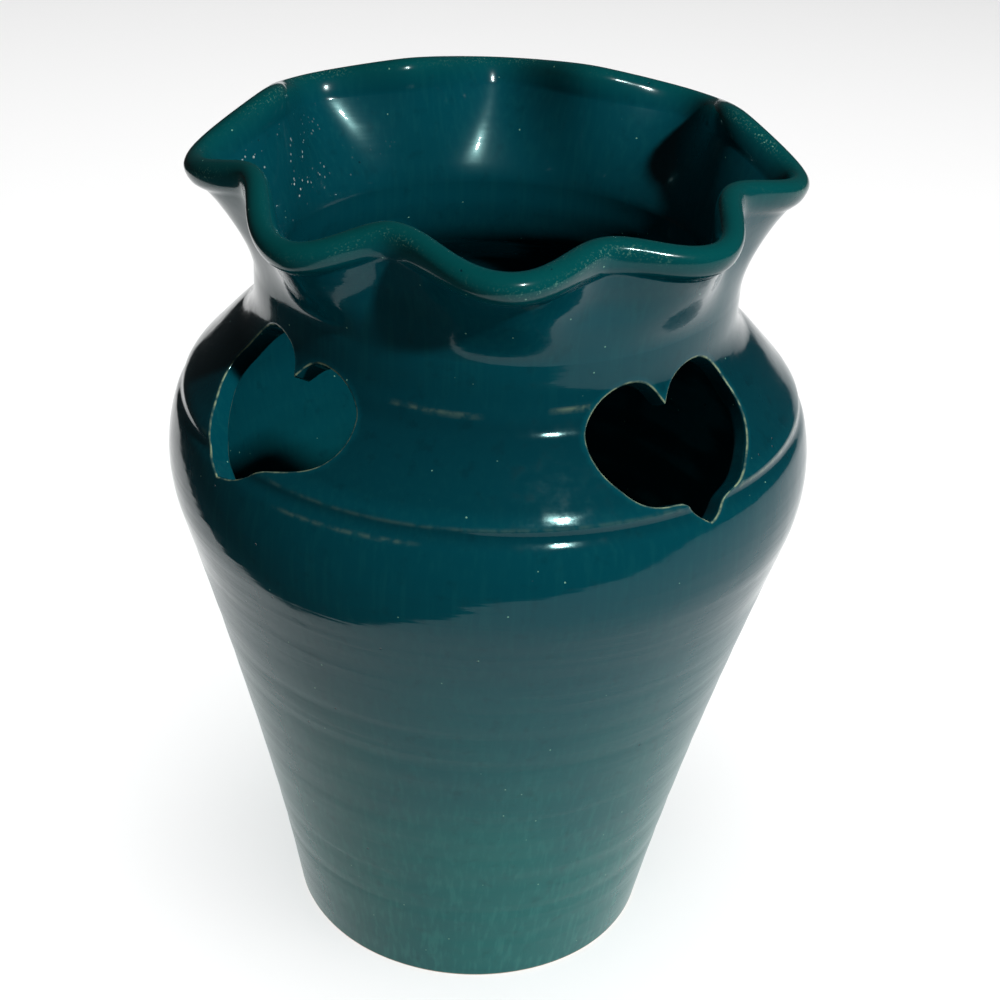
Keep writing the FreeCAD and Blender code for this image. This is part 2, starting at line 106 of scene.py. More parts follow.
# %% The wall's line
def wall_radius(height, inset=0.0):
    """Radius of the turned wall at a height, measured a given depth below its outer face."""
    shoulder = SHOULDER_ROUND - inset
    cone_top = BELLY_HEIGHT - shoulder * math.sin(cone)
    hollow_start = BELLY_HEIGHT + shoulder / (SHOULDER_ROUND + neck_round) * neck_rise
    on_cone = cone_centre - np.sqrt((cone_round + inset) ** 2 - (height - cone_height) ** 2)
    on_shoulder = round_centre + np.sqrt(np.maximum(shoulder**2 - (height - BELLY_HEIGHT) ** 2, 0))
    below_neck = np.maximum(NECK_HEIGHT - height, 0)
    on_hollow = NECK_RADIUS + neck_round - np.sqrt(np.maximum((neck_round + inset) ** 2 - below_neck**2, 0))
    return np.where(height < cone_top, on_cone, np.where(height < hollow_start, on_shoulder, on_hollow))


belly_across, neck_across = 2 * wall_radius(BELLY_HEIGHT) / MM, 2 * wall_radius(NECK_HEIGHT) / MM
print(f"The wall is {belly_across:.1f} mm across at the belly and {neck_across:.1f} mm at the neck")

# %% [markdown]
# ## The marks of the hand
#
# No thrown wall is true. Fingers leave shallow rings, and a needle held against the turning shoulder
# leaves a guide line with a small burr above it. A rib pressed the clay flatter from there up to a low
# swelling under the neck, and the pot is never quite round. Sculpt brushes could add all this, but a
# formula gives the same marks in every run, and true normals later on.
#
# Each mark is a height, a push in millimetres (outwards is positive), a width, and how far the mark
# wanders up and down on its way round. Each wave of the unround pot is a count, a depth, a climb and a
# start. The whole wall is turned back a little, so that no mark stands out of the frame's box.

# %% Marks of the hand
TURNED_BACK = 0.45
UNEVEN_PRESS = 0.3
RING_MARKS = [
    (19, -0.06, 4.0, 0.8), (31, -0.14, 2.6, 0.6), (44, -0.11, 3.2, 1.0), (57, -0.05, 4.0, 1.2),
    (71, -0.08, 3.8, 1.0), (84, -0.05, 3.4, 1.4), (97, -0.11, 3.0, 1.2), (110, -0.10, 3.2, 1.5),
    (123, -0.04, 4.0, 1.4), (136, -0.05, 4.0, 1.6), (149, -0.04, 4.0, 1.2),
]
TOOL_MARKS = [(180.3, -0.80, 2.1, 0.3), (182.4, 0.19, 1.1, 0.3), (203.5, 0.80, 4.5, 0.3)]
UNROUND = [(2, 0.30, 60, 0.6), (3, 0.14, 38, 2.1), (5, 0.06, 24, 4.0), (9, 0.02, 15, 1.3)]
SHELF_START, SHELF_END = 182.2, 214
SHELF_DEPTH = 2.3
SHELF_EASE = 6.6
SHELF_FADE = 15


def rib_shelf(level):
    """How far the rib flattened the shoulder, at a level in millimetres."""
    above_line = np.clip(level - SHELF_START, 0, None)
    below_neck = np.clip((SHELF_END - level) / SHELF_FADE, 0, 1)
    shelf = 1 - np.exp(-((above_line / SHELF_EASE) ** 2))
    return SHELF_DEPTH * shelf * below_neck**2 * (3 - 2 * below_neck)


def hand_marks(turn, height):
    """How far the hand pushed the outer face out or in, at a turn in radians and a height."""
    push = np.full(np.broadcast(turn, height).shape, -TURNED_BACK)
    for level, depth, width, wander in RING_MARKS + TOOL_MARKS:
        middle = level + wander * np.sin(turn + level)
        strength = 1 + UNEVEN_PRESS * np.sin(2 * turn + 3 * level)
        push = push + depth * strength * np.exp(-((height / MM - middle) / width) ** 2)
    for waves, depth, climb, start in UNROUND:
        push = push + depth * np.sin(waves * turn + height / MM / climb + start)
    return (push - rib_shelf(height / MM)) * MM


print(f"{len(RING_MARKS)} rings and {len(TOOL_MARKS)} tool marks, and a shelf {SHELF_DEPTH} mm deep")

# %% [markdown]
# ## The two faces of the wall
#
# Inside, the fingers left a spiral: deep low in the pot, and almost smoothed away higher up, where the
# potter ran a rib over it. With it the wall has an outer and an inner face, each a function from a turn
# and a height to a place. An offset modifier could thicken one face, but a hand never leaves both faces
# alike.

# %% Outer and inner face
FINGER_STEP = 10.5 * MM
FINGER_DEPTH, SMOOTHED_DEPTH = 0.26, 0.04
SMOOTHED_ABOVE, SMOOTHED_FADE = 120 * MM, 15 * MM
INSIDE_WAVE, INSIDE_CLIMB = 0.12, 30 * MM


def finger_rings(turn, height):
    """How far the fingers pushed the inner face outwards."""
    left = 1 / (1 + np.exp((height - SMOOTHED_ABOVE) / SMOOTHED_FADE))
    spiral = (SMOOTHED_DEPTH + FINGER_DEPTH * left) * np.sin(2 * math.pi * height / FINGER_STEP - turn)
    return (spiral + INSIDE_WAVE * np.sin(3 * turn + height / INSIDE_CLIMB)) * MM


def round_the_pot(turn, radius, height):
    """Places in the frame. A turn of zero faces the camera, along -Y, and it grows towards +X."""
    return np.stack([radius * np.sin(turn), -radius * np.cos(turn), height + 0 * turn], axis=-1)


def turn_of(places):
    """The turn of places in the frame, within half a turn of the camera's side."""
    return np.arctan2(places[..., 0], -places[..., 1])


def outer_face(turn, height):
    return round_the_pot(turn, wall_radius(height) + hand_marks(turn, height), height)


def inner_face(turn, height):
    return round_the_pot(turn, wall_radius(height, WALL) + finger_rings(turn, height), height)


belly_wall = np.linalg.norm(outer_face(0.0, BELLY_HEIGHT) - inner_face(0.0, BELLY_HEIGHT))
print(f"The wall is {belly_wall / MM:.2f} mm thick at the front of the belly")

# %% [markdown]
# ## True normals
#
# A gloss glaze shows every facet of a mesh, because each face mirrors its own patch of what is round it.
# More faces would help a little. It is better to give each point the normal of the formula itself, found
# from two small steps on the face. With them the seams between the pieces vanish too, as they do on a pot
# whose joints were smoothed before firing.

# %% Normals from a formula
COLUMNS = 480
TURNS = np.arange(COLUMNS) * 2 * math.pi / COLUMNS
SMALL_TURN = 0.0004
FACE_STEP = 0.05 * MM


def facing(face, turn, level, step):
    """Unit normals of a face that is given as a function of the turn and of a second measure."""
    along = face(turn + SMALL_TURN, level) - face(turn - SMALL_TURN, level)
    up = face(turn, level + step) - face(turn, level - step)
    normal = np.cross(along, up)
    return normal / np.linalg.norm(normal, axis=-1, keepdims=True)


front_lean = math.degrees(math.asin(facing(outer_face, 0.0, LEDGE, FACE_STEP)[2]))
print(f"{COLUMNS} columns round the pot; above the foot, the front faces {-front_lean:.1f} degrees down")

# %% [markdown]
# ## A ball of clay to build with
#
# Each piece is one mesh. Its faces could be made one by one with bmesh, but this pot is made of long
# woven rows, so a small helper gathers whole grids of points and joins them with quads. At every point it
# also keeps notes for the glaze, which become attributes of the mesh: where an edge is worn and where
# highlight lines are painted, where glaze pools and where shade is painted, where the clay stays bare,
# where the rim's glaze is thin, where glints of crystals are painted, and where its gloss is soft.

# %% The clay helper
GLAZE_NOTES = ("edge_wear", "glaze_pool", "bare_clay", "rim_thin", "frosting", "soft_gloss")


class Clay:
    """Gathers the points and faces of one piece, with notes for the glaze."""

    def __init__(self):
        self.points = []
        self.normals = []
        self.notes = {name: [] for name in GLAZE_NOTES}
        self.faces = []
        self.count = 0

    def add(self, points, normals=None, **notes):
        """Adds a grid of points and returns their numbers. Normals of zero are left to Blender."""
        shape = points.shape[:-1]
        size = math.prod(shape)
        self.points.append(points.reshape(-1, 3))
        self.normals.append(np.zeros((size, 3)) if normals is None else normals.reshape(-1, 3))
        for name, values in self.notes.items():
            values.append(np.broadcast_to(notes.get(name, 0.0), shape).reshape(-1))
        self.count += size
        return np.arange(self.count - size, self.count).reshape(shape)

    def weave(self, numbers, keep=None):
        """Joins rows of points with quads. Each row runs round and meets itself."""
        beside = np.roll(numbers, -1, axis=1)
        quads = np.stack([numbers[:-1], beside[:-1], beside[1:], numbers[1:]], axis=-1)
        quads = quads.reshape(-1, 4) if keep is None else quads[keep]
        self.faces += quads.tolist()

    def fire(self, name, finish):
        """Turns the clay into a Blender object that takes the place of the frame's node of that name."""
        mesh = bpy.data.meshes.new(name)
        mesh.from_pydata(np.concatenate(self.points).tolist(), [], self.faces)
        for note, values in self.notes.items():
            layer = mesh.attributes.new(note, "FLOAT", "POINT")
            layer.data.foreach_set("value", np.concatenate(values).astype(np.float32))
        mesh.normals_split_custom_set_from_vertices(np.concatenate(self.normals).tolist())
        mesh.materials.append(finish)
        piece = bpy.data.objects.new(name + "_glazed", mesh)
        bpy.context.scene.collection.objects.link(piece)
        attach(piece, "root")
        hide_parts(name)
        print(f"{piece.name}: {len(mesh.vertices)} points, {len(mesh.polygons)} faces")
        return piece


print("Notes for the glaze:", ", ".join(GLAZE_NOTES))

# %% [markdown]
# ## Short words for shader nodes
#
# A material is a tree of nodes joined by links. It could be drawn in the shader editor, but a script has
# to name each node, socket and link, and that soon hides what the material is. So this class has one
# short word for each thing that the glaze needs, and a socket takes either a plain value or the output of
# another node.

# %% Words for the shader
class Shader:
    """Makes one material and joins its nodes."""

    def __init__(self, name):
        self.material = bpy.data.materials.new(name)
        self.material.use_nodes = True
        self.tree = self.material.node_tree
        self.surface = self.tree.nodes["Principled BSDF"]

    def join(self, socket, value):
        if isinstance(value, bpy.types.NodeSocket):
            self.tree.links.new(value, socket)
        else:
            socket.default_value = value

    def make(self, kind, inputs, **settings):
        made = self.tree.nodes.new("ShaderNode" + kind)
        for name, value in settings.items():
            setattr(made, name, value)
        for name, value in inputs.items():
            self.join(made.inputs[name], value)
        return made

    def noise(self, where, scale, detail):
        return self.make("TexNoise", {"Vector": where, "Scale": scale, "Detail": detail}).outputs["Fac"]

    def patches(self, where, scale, detail, *limits):
        return self.fade(self.noise(where, scale, detail), *limits)

    def stretch(self, where, scale):
        return self.make("Mapping", {"Vector": where, "Scale": scale}).outputs["Vector"]

    def fade(self, value, low, high, start=0.0, end=1.0):
        inputs = {"Value": value, "From Min": low, "From Max": high, "To Min": start, "To Max": end}
        return self.make("MapRange", inputs, interpolation_type="SMOOTHSTEP").outputs["Result"]

    def sums(self, how, first, second):
        return self.make("Math", {0: first, 1: second}, operation=how).outputs[0]

    def times(self, first, second):
        return self.sums("MULTIPLY", first, second)

    def plus(self, first, second):
        return self.sums("ADD", first, second)

    def blend(self, amount, first, second):
        return self.make("MixRGB", {"Fac": amount, "Color1": first, "Color2": second}).outputs["Color"]

    def note(self, name):
        return self.make("Attribute", {}, attribute_name=name).outputs["Fac"]


print("Words for the shader:", ", ".join(word for word in vars(Shader) if not word.startswith("_")))

# %% [markdown]
# ## The glaze's colours
#
# The glaze is a glassy coat over the clay: deep teal where it lies thick, greener and lighter where it
# ran thin low on the wall, almost black where it pooled, and cream where it drew back from a cut edge. The
# same dark teal paints shade inside the pot and high on the shoulder, and the cream paints highlight lines.
# One colour ramp could hold all these, but each has its own cause and place, so each has a name. The
# melted glaze is clouded, and near the foot it ran in fine streaks, which are noise drawn out along the
# height. Noise in the pot's own coordinates needs no unwrapping, so it shows no seam. Each kind of patch
# is the noise's scale per metre and its detail, the two values of noise between which it fades, and the
# shares that it fades from and to.

# %% Colour of the glaze
DEEP_TEAL = (0.0005, 0.050, 0.067, 1)
THIN_TEAL = (0.0040, 0.109, 0.104, 1)
RUN_GREEN = (0.0200, 0.160, 0.145, 1)
# The dark pool teal also paints shade inside the pot and high on the shoulder.
POOL_AND_SHADE_TEAL = (0.0006, 0.026, 0.036, 1)
THINNEST_BELOW, THIN_BELOW = 20 * MM, 172 * MM
CLOUDS = (26, 3, 0.25, 0.75, 0.7, 1.2)
RUNS = (620, 3, 0.45, 0.7, 0, 0.6)
RUN_STRETCH = (1, 1, 0.06)
RUNS_BELOW, RUNS_LEFT = 125 * MM, 0.1
MOTTLED_POOL = (0.55, 0.75, 0, 0.25)


def glaze_colour(glaze, where, height, mottle):
    """Teal that is greener low down, with runs near the foot, darker pools and painted shade."""
    low_down = glaze.fade(height, THINNEST_BELOW, THIN_BELOW, 1, 0)
    thinness = glaze.times(low_down, glaze.patches(where, *CLOUDS))
    colour = glaze.blend(thinness, DEEP_TEAL, THIN_TEAL)
    runs = glaze.patches(glaze.stretch(where, RUN_STRETCH), *RUNS)
    run_share = glaze.times(runs, glaze.fade(height, 0, RUNS_BELOW, 1, RUNS_LEFT))
    colour = glaze.blend(run_share, colour, RUN_GREEN)
    # Painted shade: pooled glaze, and shade painted inside the pot and high on the shoulder, turn the teal
    # dark.
    pool_and_shade_share = glaze.plus(glaze.note("glaze_pool"), glaze.fade(mottle, *MOTTLED_POOL))
    return glaze.blend(pool_and_shade_share, colour, POOL_AND_SHADE_TEAL)


print(f"The glaze thins below {THIN_BELOW / MM:.0f} mm and runs below {RUNS_BELOW / MM:.0f} mm")

# %% [markdown]
# ## Specks and wear
#
# Gas that left the melt made dark pinholes and pale bubbles, and a cut edge shows a broken cream line,
# because glaze draws back from any sharp edge. The same cream paints highlight lines along thin ridges of
# the shoulder, and white specks in clots paint the glints of crystals inside the neck. On the lip the wear
# is a fine frost instead. Small spheres could stand for the specks, but they would cost thousands of
# faces. A Voronoi pattern puts one dot in each of its cells, and a random colour of the cell chooses which
# dots show. Each kind of speck is its cells per metre, the dot's size in its cell, and the share of cells
# with a dot.

# %% Specks and wear
LIP_TEAL = (0.0010, 0.064, 0.060, 1)
PALE_SPECK = (0.1600, 0.360, 0.270, 1)
# Painted glints: white specks stand for light glinting on crystals inside the neck.
GLINT_WHITE = (0.7000, 0.800, 0.760, 1)
# The worn cream also paints highlight lines along thin ridges of the shoulder.
WEAR_AND_HIGHLIGHT_CREAM = (0.3000, 0.380, 0.230, 1)
PINHOLES = (230.0, 0.10, 0.05)
BUBBLES = (420.0, 0.13, 0.05)
# Painted glints: the crystal specks and the clots they gather in.
GLINT_SPECKS = (700.0, 0.32, 0.5)
CHOICE_EDGE = 0.001
GLINT_CLOTS = (85, 1, 0.55, 0.62)
WEAR_AND_HIGHLIGHT_PATCHES = (330, 2, 0.35, 0.62, 0.1, 1.0)
LIP_FROST = (1700, 2, 0.54, 0.72)
FROST_PATCHES = (45, 2, 0.45, 0.70, 0.05, 0.6)


def specks(glaze, where, scale, size, share):
    """Small round dots in a few cells of a Voronoi pattern."""
    cells = glaze.make("TexVoronoi", {"Vector": where, "Scale": scale})
    chance = glaze.make("SeparateColor", {"Color": cells.outputs["Color"]}).outputs["Red"]
    chosen = glaze.fade(chance, 1 - share, 1 + CHOICE_EDGE - share)
    return glaze.times(glaze.fade(cells.outputs["Distance"], size / 2, size, 1, 0), chosen)


def wear(glaze, where, lip):
    """How far the glaze is worn, with painted highlights: a broken line on cut edges, painted highlight
    lines on the shoulder, and patches of frost on the lip.
    """
    worn_and_highlighted = glaze.note("edge_wear")
    if lip:
        frost = glaze.times(worn_and_highlighted, glaze.patches(where, *LIP_FROST))
        return glaze.times(frost, glaze.patches(where, *FROST_PATCHES))
    return glaze.times(worn_and_highlighted, glaze.patches(where, *WEAR_AND_HIGHLIGHT_PATCHES))


def crystal_glints(glaze, where):
    """Painted glints: white specks in clots, where the clay has a note for glints of crystals."""
    glint_dots = glaze.times(specks(glaze, where, *GLINT_SPECKS), glaze.note("frosting"))
    return glaze.times(glint_dots, glaze.patches(where, *GLINT_CLOTS))


print(f"Pinholes are up to {2 * PINHOLES[1] / PINHOLES[0] / MM:.1f} mm wide")

# %% [markdown]
# ## Gloss and relief
#
# A fired glaze is glass, so it mirrors sharply, with a thin clear layer over the colour. Where it wore
# off or was wiped away the clay is dull, and low on the wall and inside the neck the glaze is thinner and
# its gloss softer. Lumps and throwing lines under the glaze could be modelled, but they are finer than
# any sensible mesh, so a Bump node tilts the normals. Its heights here are in millimetres, and stretched
# noise has a scale for each direction. The broad rings end a little above the belly, where the rib took
# them away.

# %% Gloss and relief
GLAZE_SHEEN = (0.55, 1.0, 0.97, 1)
SURFACE_SHINE = 0.15
CLEAR_LAYER = 0.17
CLEAR_ROUGHNESS, LIP_CLEAR_ROUGHNESS = 0.05, 0.18
MOTTLED_GLOSS = (0.3, 0.8, 0.08, 0.17)
SOFT_ROUGHNESS, WEAR_AND_HIGHLIGHT_ROUGHNESS, BARE_ROUGHNESS = 0.27, 0.5, 0.8
THROWING_STRETCH, THROWING_RELIEF = (20, 20, 420), 0.03
RING_STRETCH, RING_RELIEF = (14, 14, 240), 0.15
RINGS_END = (164 * MM, 176 * MM)
LUMP_SCALE, LUMP_RELIEF = 70, 0.12
MOTTLE_RELIEF = 0.02
PINHOLE_RELIEF = 0.1
RELIEF_DETAIL = 2


def set_gloss(glaze, mottle, worn_and_highlighted, lip):
    rough = glaze.fade(mottle, *MOTTLED_GLOSS)
    bare, soft = glaze.note("bare_clay"), glaze.note("soft_gloss")
    for spot, roughness in ((worn_and_highlighted, WEAR_AND_HIGHLIGHT_ROUGHNESS), (bare, BARE_ROUGHNESS), (soft, SOFT_ROUGHNESS)):
        rough = glaze.sums("MAXIMUM", rough, glaze.times(spot, roughness))
    glaze.join(glaze.surface.inputs["Roughness"], rough)
    glaze.surface.inputs["Specular IOR Level"].default_value = SURFACE_SHINE
    glaze.surface.inputs["Specular Tint"].default_value = GLAZE_SHEEN
    glaze.surface.inputs["Coat Weight"].default_value = CLEAR_LAYER
    glaze.surface.inputs["Coat Roughness"].default_value = LIP_CLEAR_ROUGHNESS if lip else CLEAR_ROUGHNESS


def set_relief(glaze, where, height, mottle, pinholes):
    throwing = glaze.noise(glaze.stretch(where, THROWING_STRETCH), 1, RELIEF_DETAIL)
    throwing = glaze.times(throwing, THROWING_RELIEF)
    lumps = glaze.times(glaze.noise(where, LUMP_SCALE, RELIEF_DETAIL), LUMP_RELIEF)
    rings = glaze.noise(glaze.stretch(where, RING_STRETCH), 1, RELIEF_DETAIL)
    lumps = glaze.plus(lumps, glaze.times(rings, glaze.fade(height, *RINGS_END, RING_RELIEF, 0)))
    relief = glaze.plus(glaze.plus(throwing, lumps), glaze.times(mottle, MOTTLE_RELIEF))
    relief = glaze.sums("SUBTRACT", relief, glaze.times(pinholes, PINHOLE_RELIEF))
    bump = glaze.make("Bump", {"Height": relief, "Strength": 1.0, "Distance": 1 * MM}).outputs["Normal"]
    glaze.join(glaze.surface.inputs["Normal"], bump)
    glaze.join(glaze.surface.inputs["Coat Normal"], bump)


print(f"Roughness from {MOTTLED_GLOSS[2]} on clear glaze to {BARE_ROUGHNESS} on bare clay")

# %% [markdown]
# ## The two glazes
#
# Wall and lip were dipped in the same bucket, but on the lip the glaze ran off the crest while it melted,
# so it is thinner and greener there. One material with a mask could do for both. Two materials from one
# recipe keep each node tree shorter, and the lip has a slot of its own.

# %% Wall glaze and lip glaze
BARE_CLAY = (0.42, 0.33, 0.24, 1)
MOTTLE = (260, 4)


def make_glaze(name, lip):
    glaze = Shader(name)
    where = glaze.make("TexCoord", {}).outputs["Object"]
    height = glaze.make("SeparateXYZ", {"Vector": where}).outputs["Z"]
    mottle = glaze.noise(where, *MOTTLE)
    colour = glaze_colour(glaze, where, height, mottle)
    if lip:
        colour = glaze.blend(glaze.note("rim_thin"), colour, LIP_TEAL)
    worn_and_highlighted = wear(glaze, where, lip)
    # Painted highlight lines on the shoulder share the worn cream.
    colour = glaze.blend(worn_and_highlighted, colour, PALE_SPECK if lip else WEAR_AND_HIGHLIGHT_CREAM)
    pinholes = specks(glaze, where, *PINHOLES)
    colour = glaze.blend(pinholes, colour, POOL_AND_SHADE_TEAL)
    colour = glaze.blend(specks(glaze, where, *BUBBLES), colour, PALE_SPECK)
    # Painted glints of crystals.
    colour = glaze.blend(crystal_glints(glaze, where), colour, GLINT_WHITE)
    colour = glaze.blend(glaze.note("bare_clay"), colour, BARE_CLAY)
    glaze.join(glaze.surface.inputs["Base Color"], colour)
    set_gloss(glaze, mottle, worn_and_highlighted, lip)
    set_relief(glaze, where, height, mottle, pinholes)
    return glaze.material


wall_glaze = make_glaze("teal glaze", False)
lip_glaze = make_glaze("lip glaze", True)
for finish in (wall_glaze, lip_glaze):
    print(f"{finish.name}: {len(finish.node_tree.nodes)} nodes")

# %% [markdown]
# ## The floor slab
#
# The pot stands on a rolled disc of clay. Its edge carries on the line of the wall down to a small
# rounded foot, and inside it ends in the flat floor, with a spiral from the finger that opened the ball.
# The face it stands on was wiped free of glaze, or it would have fused to the kiln shelf. A cylinder with
# bevels would be quicker, but it would miss the wall's slope and its marks. So the section is a short
# list of places, each with its share of the marks of the hand, spun round.

# %% Floor slab
FOOT_EDGE = 0.5 * MM
FOOT_SLOPE = (wall_radius(LEDGE + MM) - wall_radius(LEDGE)) / MM
SLIP_FILM = 0.3 * MM
SPIGOT = wall_radius(LEDGE, WALL) - SLIP_FILM
FLOOR_MARGIN = 1 * MM
HUB = 0.5 * MM
UNDER_ROWS, BEND_ROWS, SIDE_ROWS, FLOOR_ROWS = 12, 8, 8, 60
SPIRAL_DEPTH, SPIRAL_STEP = 0.3 * MM, 1.4 * MM


def slab_section():
    """Radius, height and share of marks, from the underside's middle round to the inner floor's."""
    toe = FOOT_RADIUS - (LEDGE - FOOT_EDGE) * FOOT_SLOPE
    under_radii = np.linspace(HUB, toe - 2 * FOOT_EDGE, UNDER_ROWS)
    under = [(radius, 0.0, (radius / toe) ** 4) for radius in under_radii]
    bend = [
        (toe - FOOT_EDGE * (1 - math.cos(angle)), FOOT_EDGE * (1 - math.sin(angle)), 1)
        for angle in np.linspace(math.pi / 2, 0, BEND_ROWS)
    ]
    side_heights = np.linspace(FOOT_EDGE, LEDGE, SIDE_ROWS)[1:]
    side = [(toe + (height - FOOT_EDGE) * FOOT_SLOPE, height, 1) for height in side_heights]
    spigot = [(SPIGOT, LEDGE, 0), (SPIGOT, FLOOR_TOP, 0)]
    floor = [(radius, FLOOR_TOP, 0) for radius in np.linspace(SPIGOT - FLOOR_MARGIN, HUB, FLOOR_ROWS)]
    return np.array(under + bend + side + spigot + floor)


section = slab_section()
height = section[:, 1:2] + 0 * TURNS
marked = section[:, 2:] + 0 * TURNS
radius = section[:, :1] + marked * hand_marks(TURNS, height)
outside = (marked == 1) & (height > 0)
floor_inside = (height >= FLOOR_TOP) & (radius < SPIGOT - FLOOR_MARGIN / 2)
spiral = SPIRAL_DEPTH * (1 + np.sin(radius / SPIRAL_STEP - TURNS))
height = height - np.where(floor_inside, spiral, 0)
wiped = (height < FOOT_EDGE) & ~floor_inside
slab_normals = np.where(outside[..., None], facing(outer_face, TURNS, height, FACE_STEP), 0)
slab = Clay()
slab_numbers = slab.add(
    round_the_pot(TURNS, radius, height), slab_normals, bare_clay=wiped, soft_gloss=outside,
)
slab.weave(slab_numbers)
slab.faces.append(slab_numbers[0][::-1].tolist())
slab.faces.append(slab_numbers[-1].tolist())
floor_slab = slab.fire("floor_slab", wall_glaze)

# %% [markdown]
# ## The lower wall
#
# The cone was pulled up on the wheel in one go. A Solidify modifier could thicken a single face, but both
# faces have a formula here. So the rows of points go up the outside, over the seam, down the inside and
# back to the start, and the clay has its real thickness. The notes say where the glaze pools in the
# hollows of the hand, where shade is painted high on the shoulder and all over the inside, and that its
# gloss is softer low down.

# %% Lower wall
OUTER_ROWS, INNER_ROWS = 130, 74
# Painted shade: the inside faces, and a band high on the shoulder, are darkened like pooled glaze.
INSIDE_PAINTED_SHADE = 0.4
HOLLOW_FULL, HOLLOW_MOST = 2.0 * MM, 0.5
HIGH_PAINTED_SHADE, HIGH_SHADE_AT, HIGH_SHADE_WIDTH = 0.35, 205 * MM, 11 * MM
SOFT_BELOW, SOFT_FADE = 143 * MM, 15 * MM
outer_heights = np.linspace(LEDGE, LOWER_SEAM, OUTER_ROWS)[:, None]
inner_heights = np.linspace(LOWER_SEAM, LEDGE, INNER_ROWS)[:, None]


def glaze_pools(turn, height):
    """Glaze gathers in the hollows that the hand left, and shade is painted in a band high on the shoulder.
    """
    hollows = np.clip((-TURNED_BACK * MM - hand_marks(turn, height)) / HOLLOW_FULL, 0, HOLLOW_MOST)
    return hollows + HIGH_PAINTED_SHADE * np.exp(-(((height - HIGH_SHADE_AT) / HIGH_SHADE_WIDTH) ** 2))


wall = Clay()
outer_numbers = wall.add(
    outer_face(TURNS, outer_heights), facing(outer_face, TURNS, outer_heights, FACE_STEP),
    glaze_pool=glaze_pools(TURNS, outer_heights),
    soft_gloss=np.clip((SOFT_BELOW - outer_heights) / SOFT_FADE, 0, 1),
)
# The inner faces take painted shade.
inner_numbers = wall.add(
    inner_face(TURNS, inner_heights), -facing(inner_face, TURNS, inner_heights, FACE_STEP),
    glaze_pool=INSIDE_PAINTED_SHADE,
)
wall.weave(np.vstack([outer_numbers, inner_numbers, outer_numbers[:1]]))
lower_wall = wall.fire("lower_wall", wall_glaze)

# %% [markdown]
# ## The hearts
#
# When the shoulder was leather hard, four hearts were cut through it with a thin knife, and their edges
# were wiped with a damp sponge. A boolean would cut them as well, but it leaves a ragged net of faces
# beside a sharp edge, and the gloss would show it. So the outline is drawn here with two arcs for each
# half, and the rings of the cut follow it.

# %% Outline of a heart
HEART_WIDTH = 53 * MM
HEART_LENGTH = 41.5 * MM
HEART_NOTCH = 5.3 * MM
HEART_SIDE = 60 * MM
SIDE_STEPS, LOBE_STEPS = 64, 76

lobe = HEART_NOTCH + HEART_WIDTH / 2 - math.sqrt(HEART_NOTCH * HEART_WIDTH)
lobe_x = HEART_WIDTH / 2 - lobe
lobe_y = HEART_LENGTH / 2 - lobe
tip_y = -HEART_LENGTH / 2
tip_reach = math.hypot(lobe_x, lobe_y - tip_y)
swing = math.acos((HEART_SIDE**2 + tip_reach**2 - (HEART_SIDE - lobe) ** 2) / (2 * HEART_SIDE * tip_reach))
bearing = math.atan2(lobe_y - tip_y, lobe_x) + swing
side_x = HEART_SIDE * math.cos(bearing)
side_y = tip_y + HEART_SIDE * math.sin(bearing)


def arc(x, y, radius, turns):
    """Points of an arc round a middle."""
    return np.stack([x + radius * np.cos(turns), y + radius * np.sin(turns)], axis=1)


def true_outline(outset):
    """The heart as drawn, anticlockwise from its tip, moved outwards by a distance."""
    side_round = HEART_SIDE + outset
    lobe_round = lobe + outset
    tip = -math.acos(-side_x / side_round)
    join = math.atan2(lobe_y - side_y, lobe_x - side_x)
    notch = math.atan2(math.sqrt(lobe_round**2 - lobe_x**2), -lobe_x)
    side = arc(side_x, side_y, side_round, np.linspace(tip, join, SIDE_STEPS, endpoint=False))
    top = arc(lobe_x, lobe_y, lobe_round, np.linspace(join, notch, LOBE_STEPS, endpoint=False))
    right = np.concatenate([side, top])
    notch_point = [[0.0, lobe_y + math.sqrt(lobe_round**2 - lobe_x**2)]]
    return np.concatenate([right, notch_point, right[:0:-1] * [-1, 1]])


drawn = np.ptp(true_outline(0), axis=0) / MM
print(f"A heart is drawn {drawn[0]:.1f} by {drawn[1]:.1f} mm")

# %% [markdown]
# ## Hearts cut by hand
#
# A knife in stiff clay wanders, so no heart is cut quite as it is drawn. Noise could shake the outline,
# but it can't put a slip where the knife really slipped. So each heart is its bearing and its tilt in
# degrees, a swing of its tip in millimetres, and its own few slips: a bearing on the heart, a push in
# millimetres and a spread in degrees. A small even shake is the same for all.

# %% Hearts cut by hand
SHAKE, SHAKES_ROUND = 0.12, 7
HEARTS = {
    "front right": (40, -2.5, 2.2, [
        (-155, 1.4, 16), (-116, -3.5, 20), (-60, -1.7, 20), (45, 3.0, 30), (90, -2.6, 9),
    ]),
    "back right": (131, 4, 0.8, [(22, -3.0, 30)]),
    "back left": (221, -4, -0.6, [(157, -3.0, 30)]),
    "front left": (311, -6.5, -2.6, [
        (-110, 1.0, 14), (-75, 1.1, 18), (-40, -1.9, 22), (10, 0.8, 30), (90, -2.8, 9),
    ]),
}


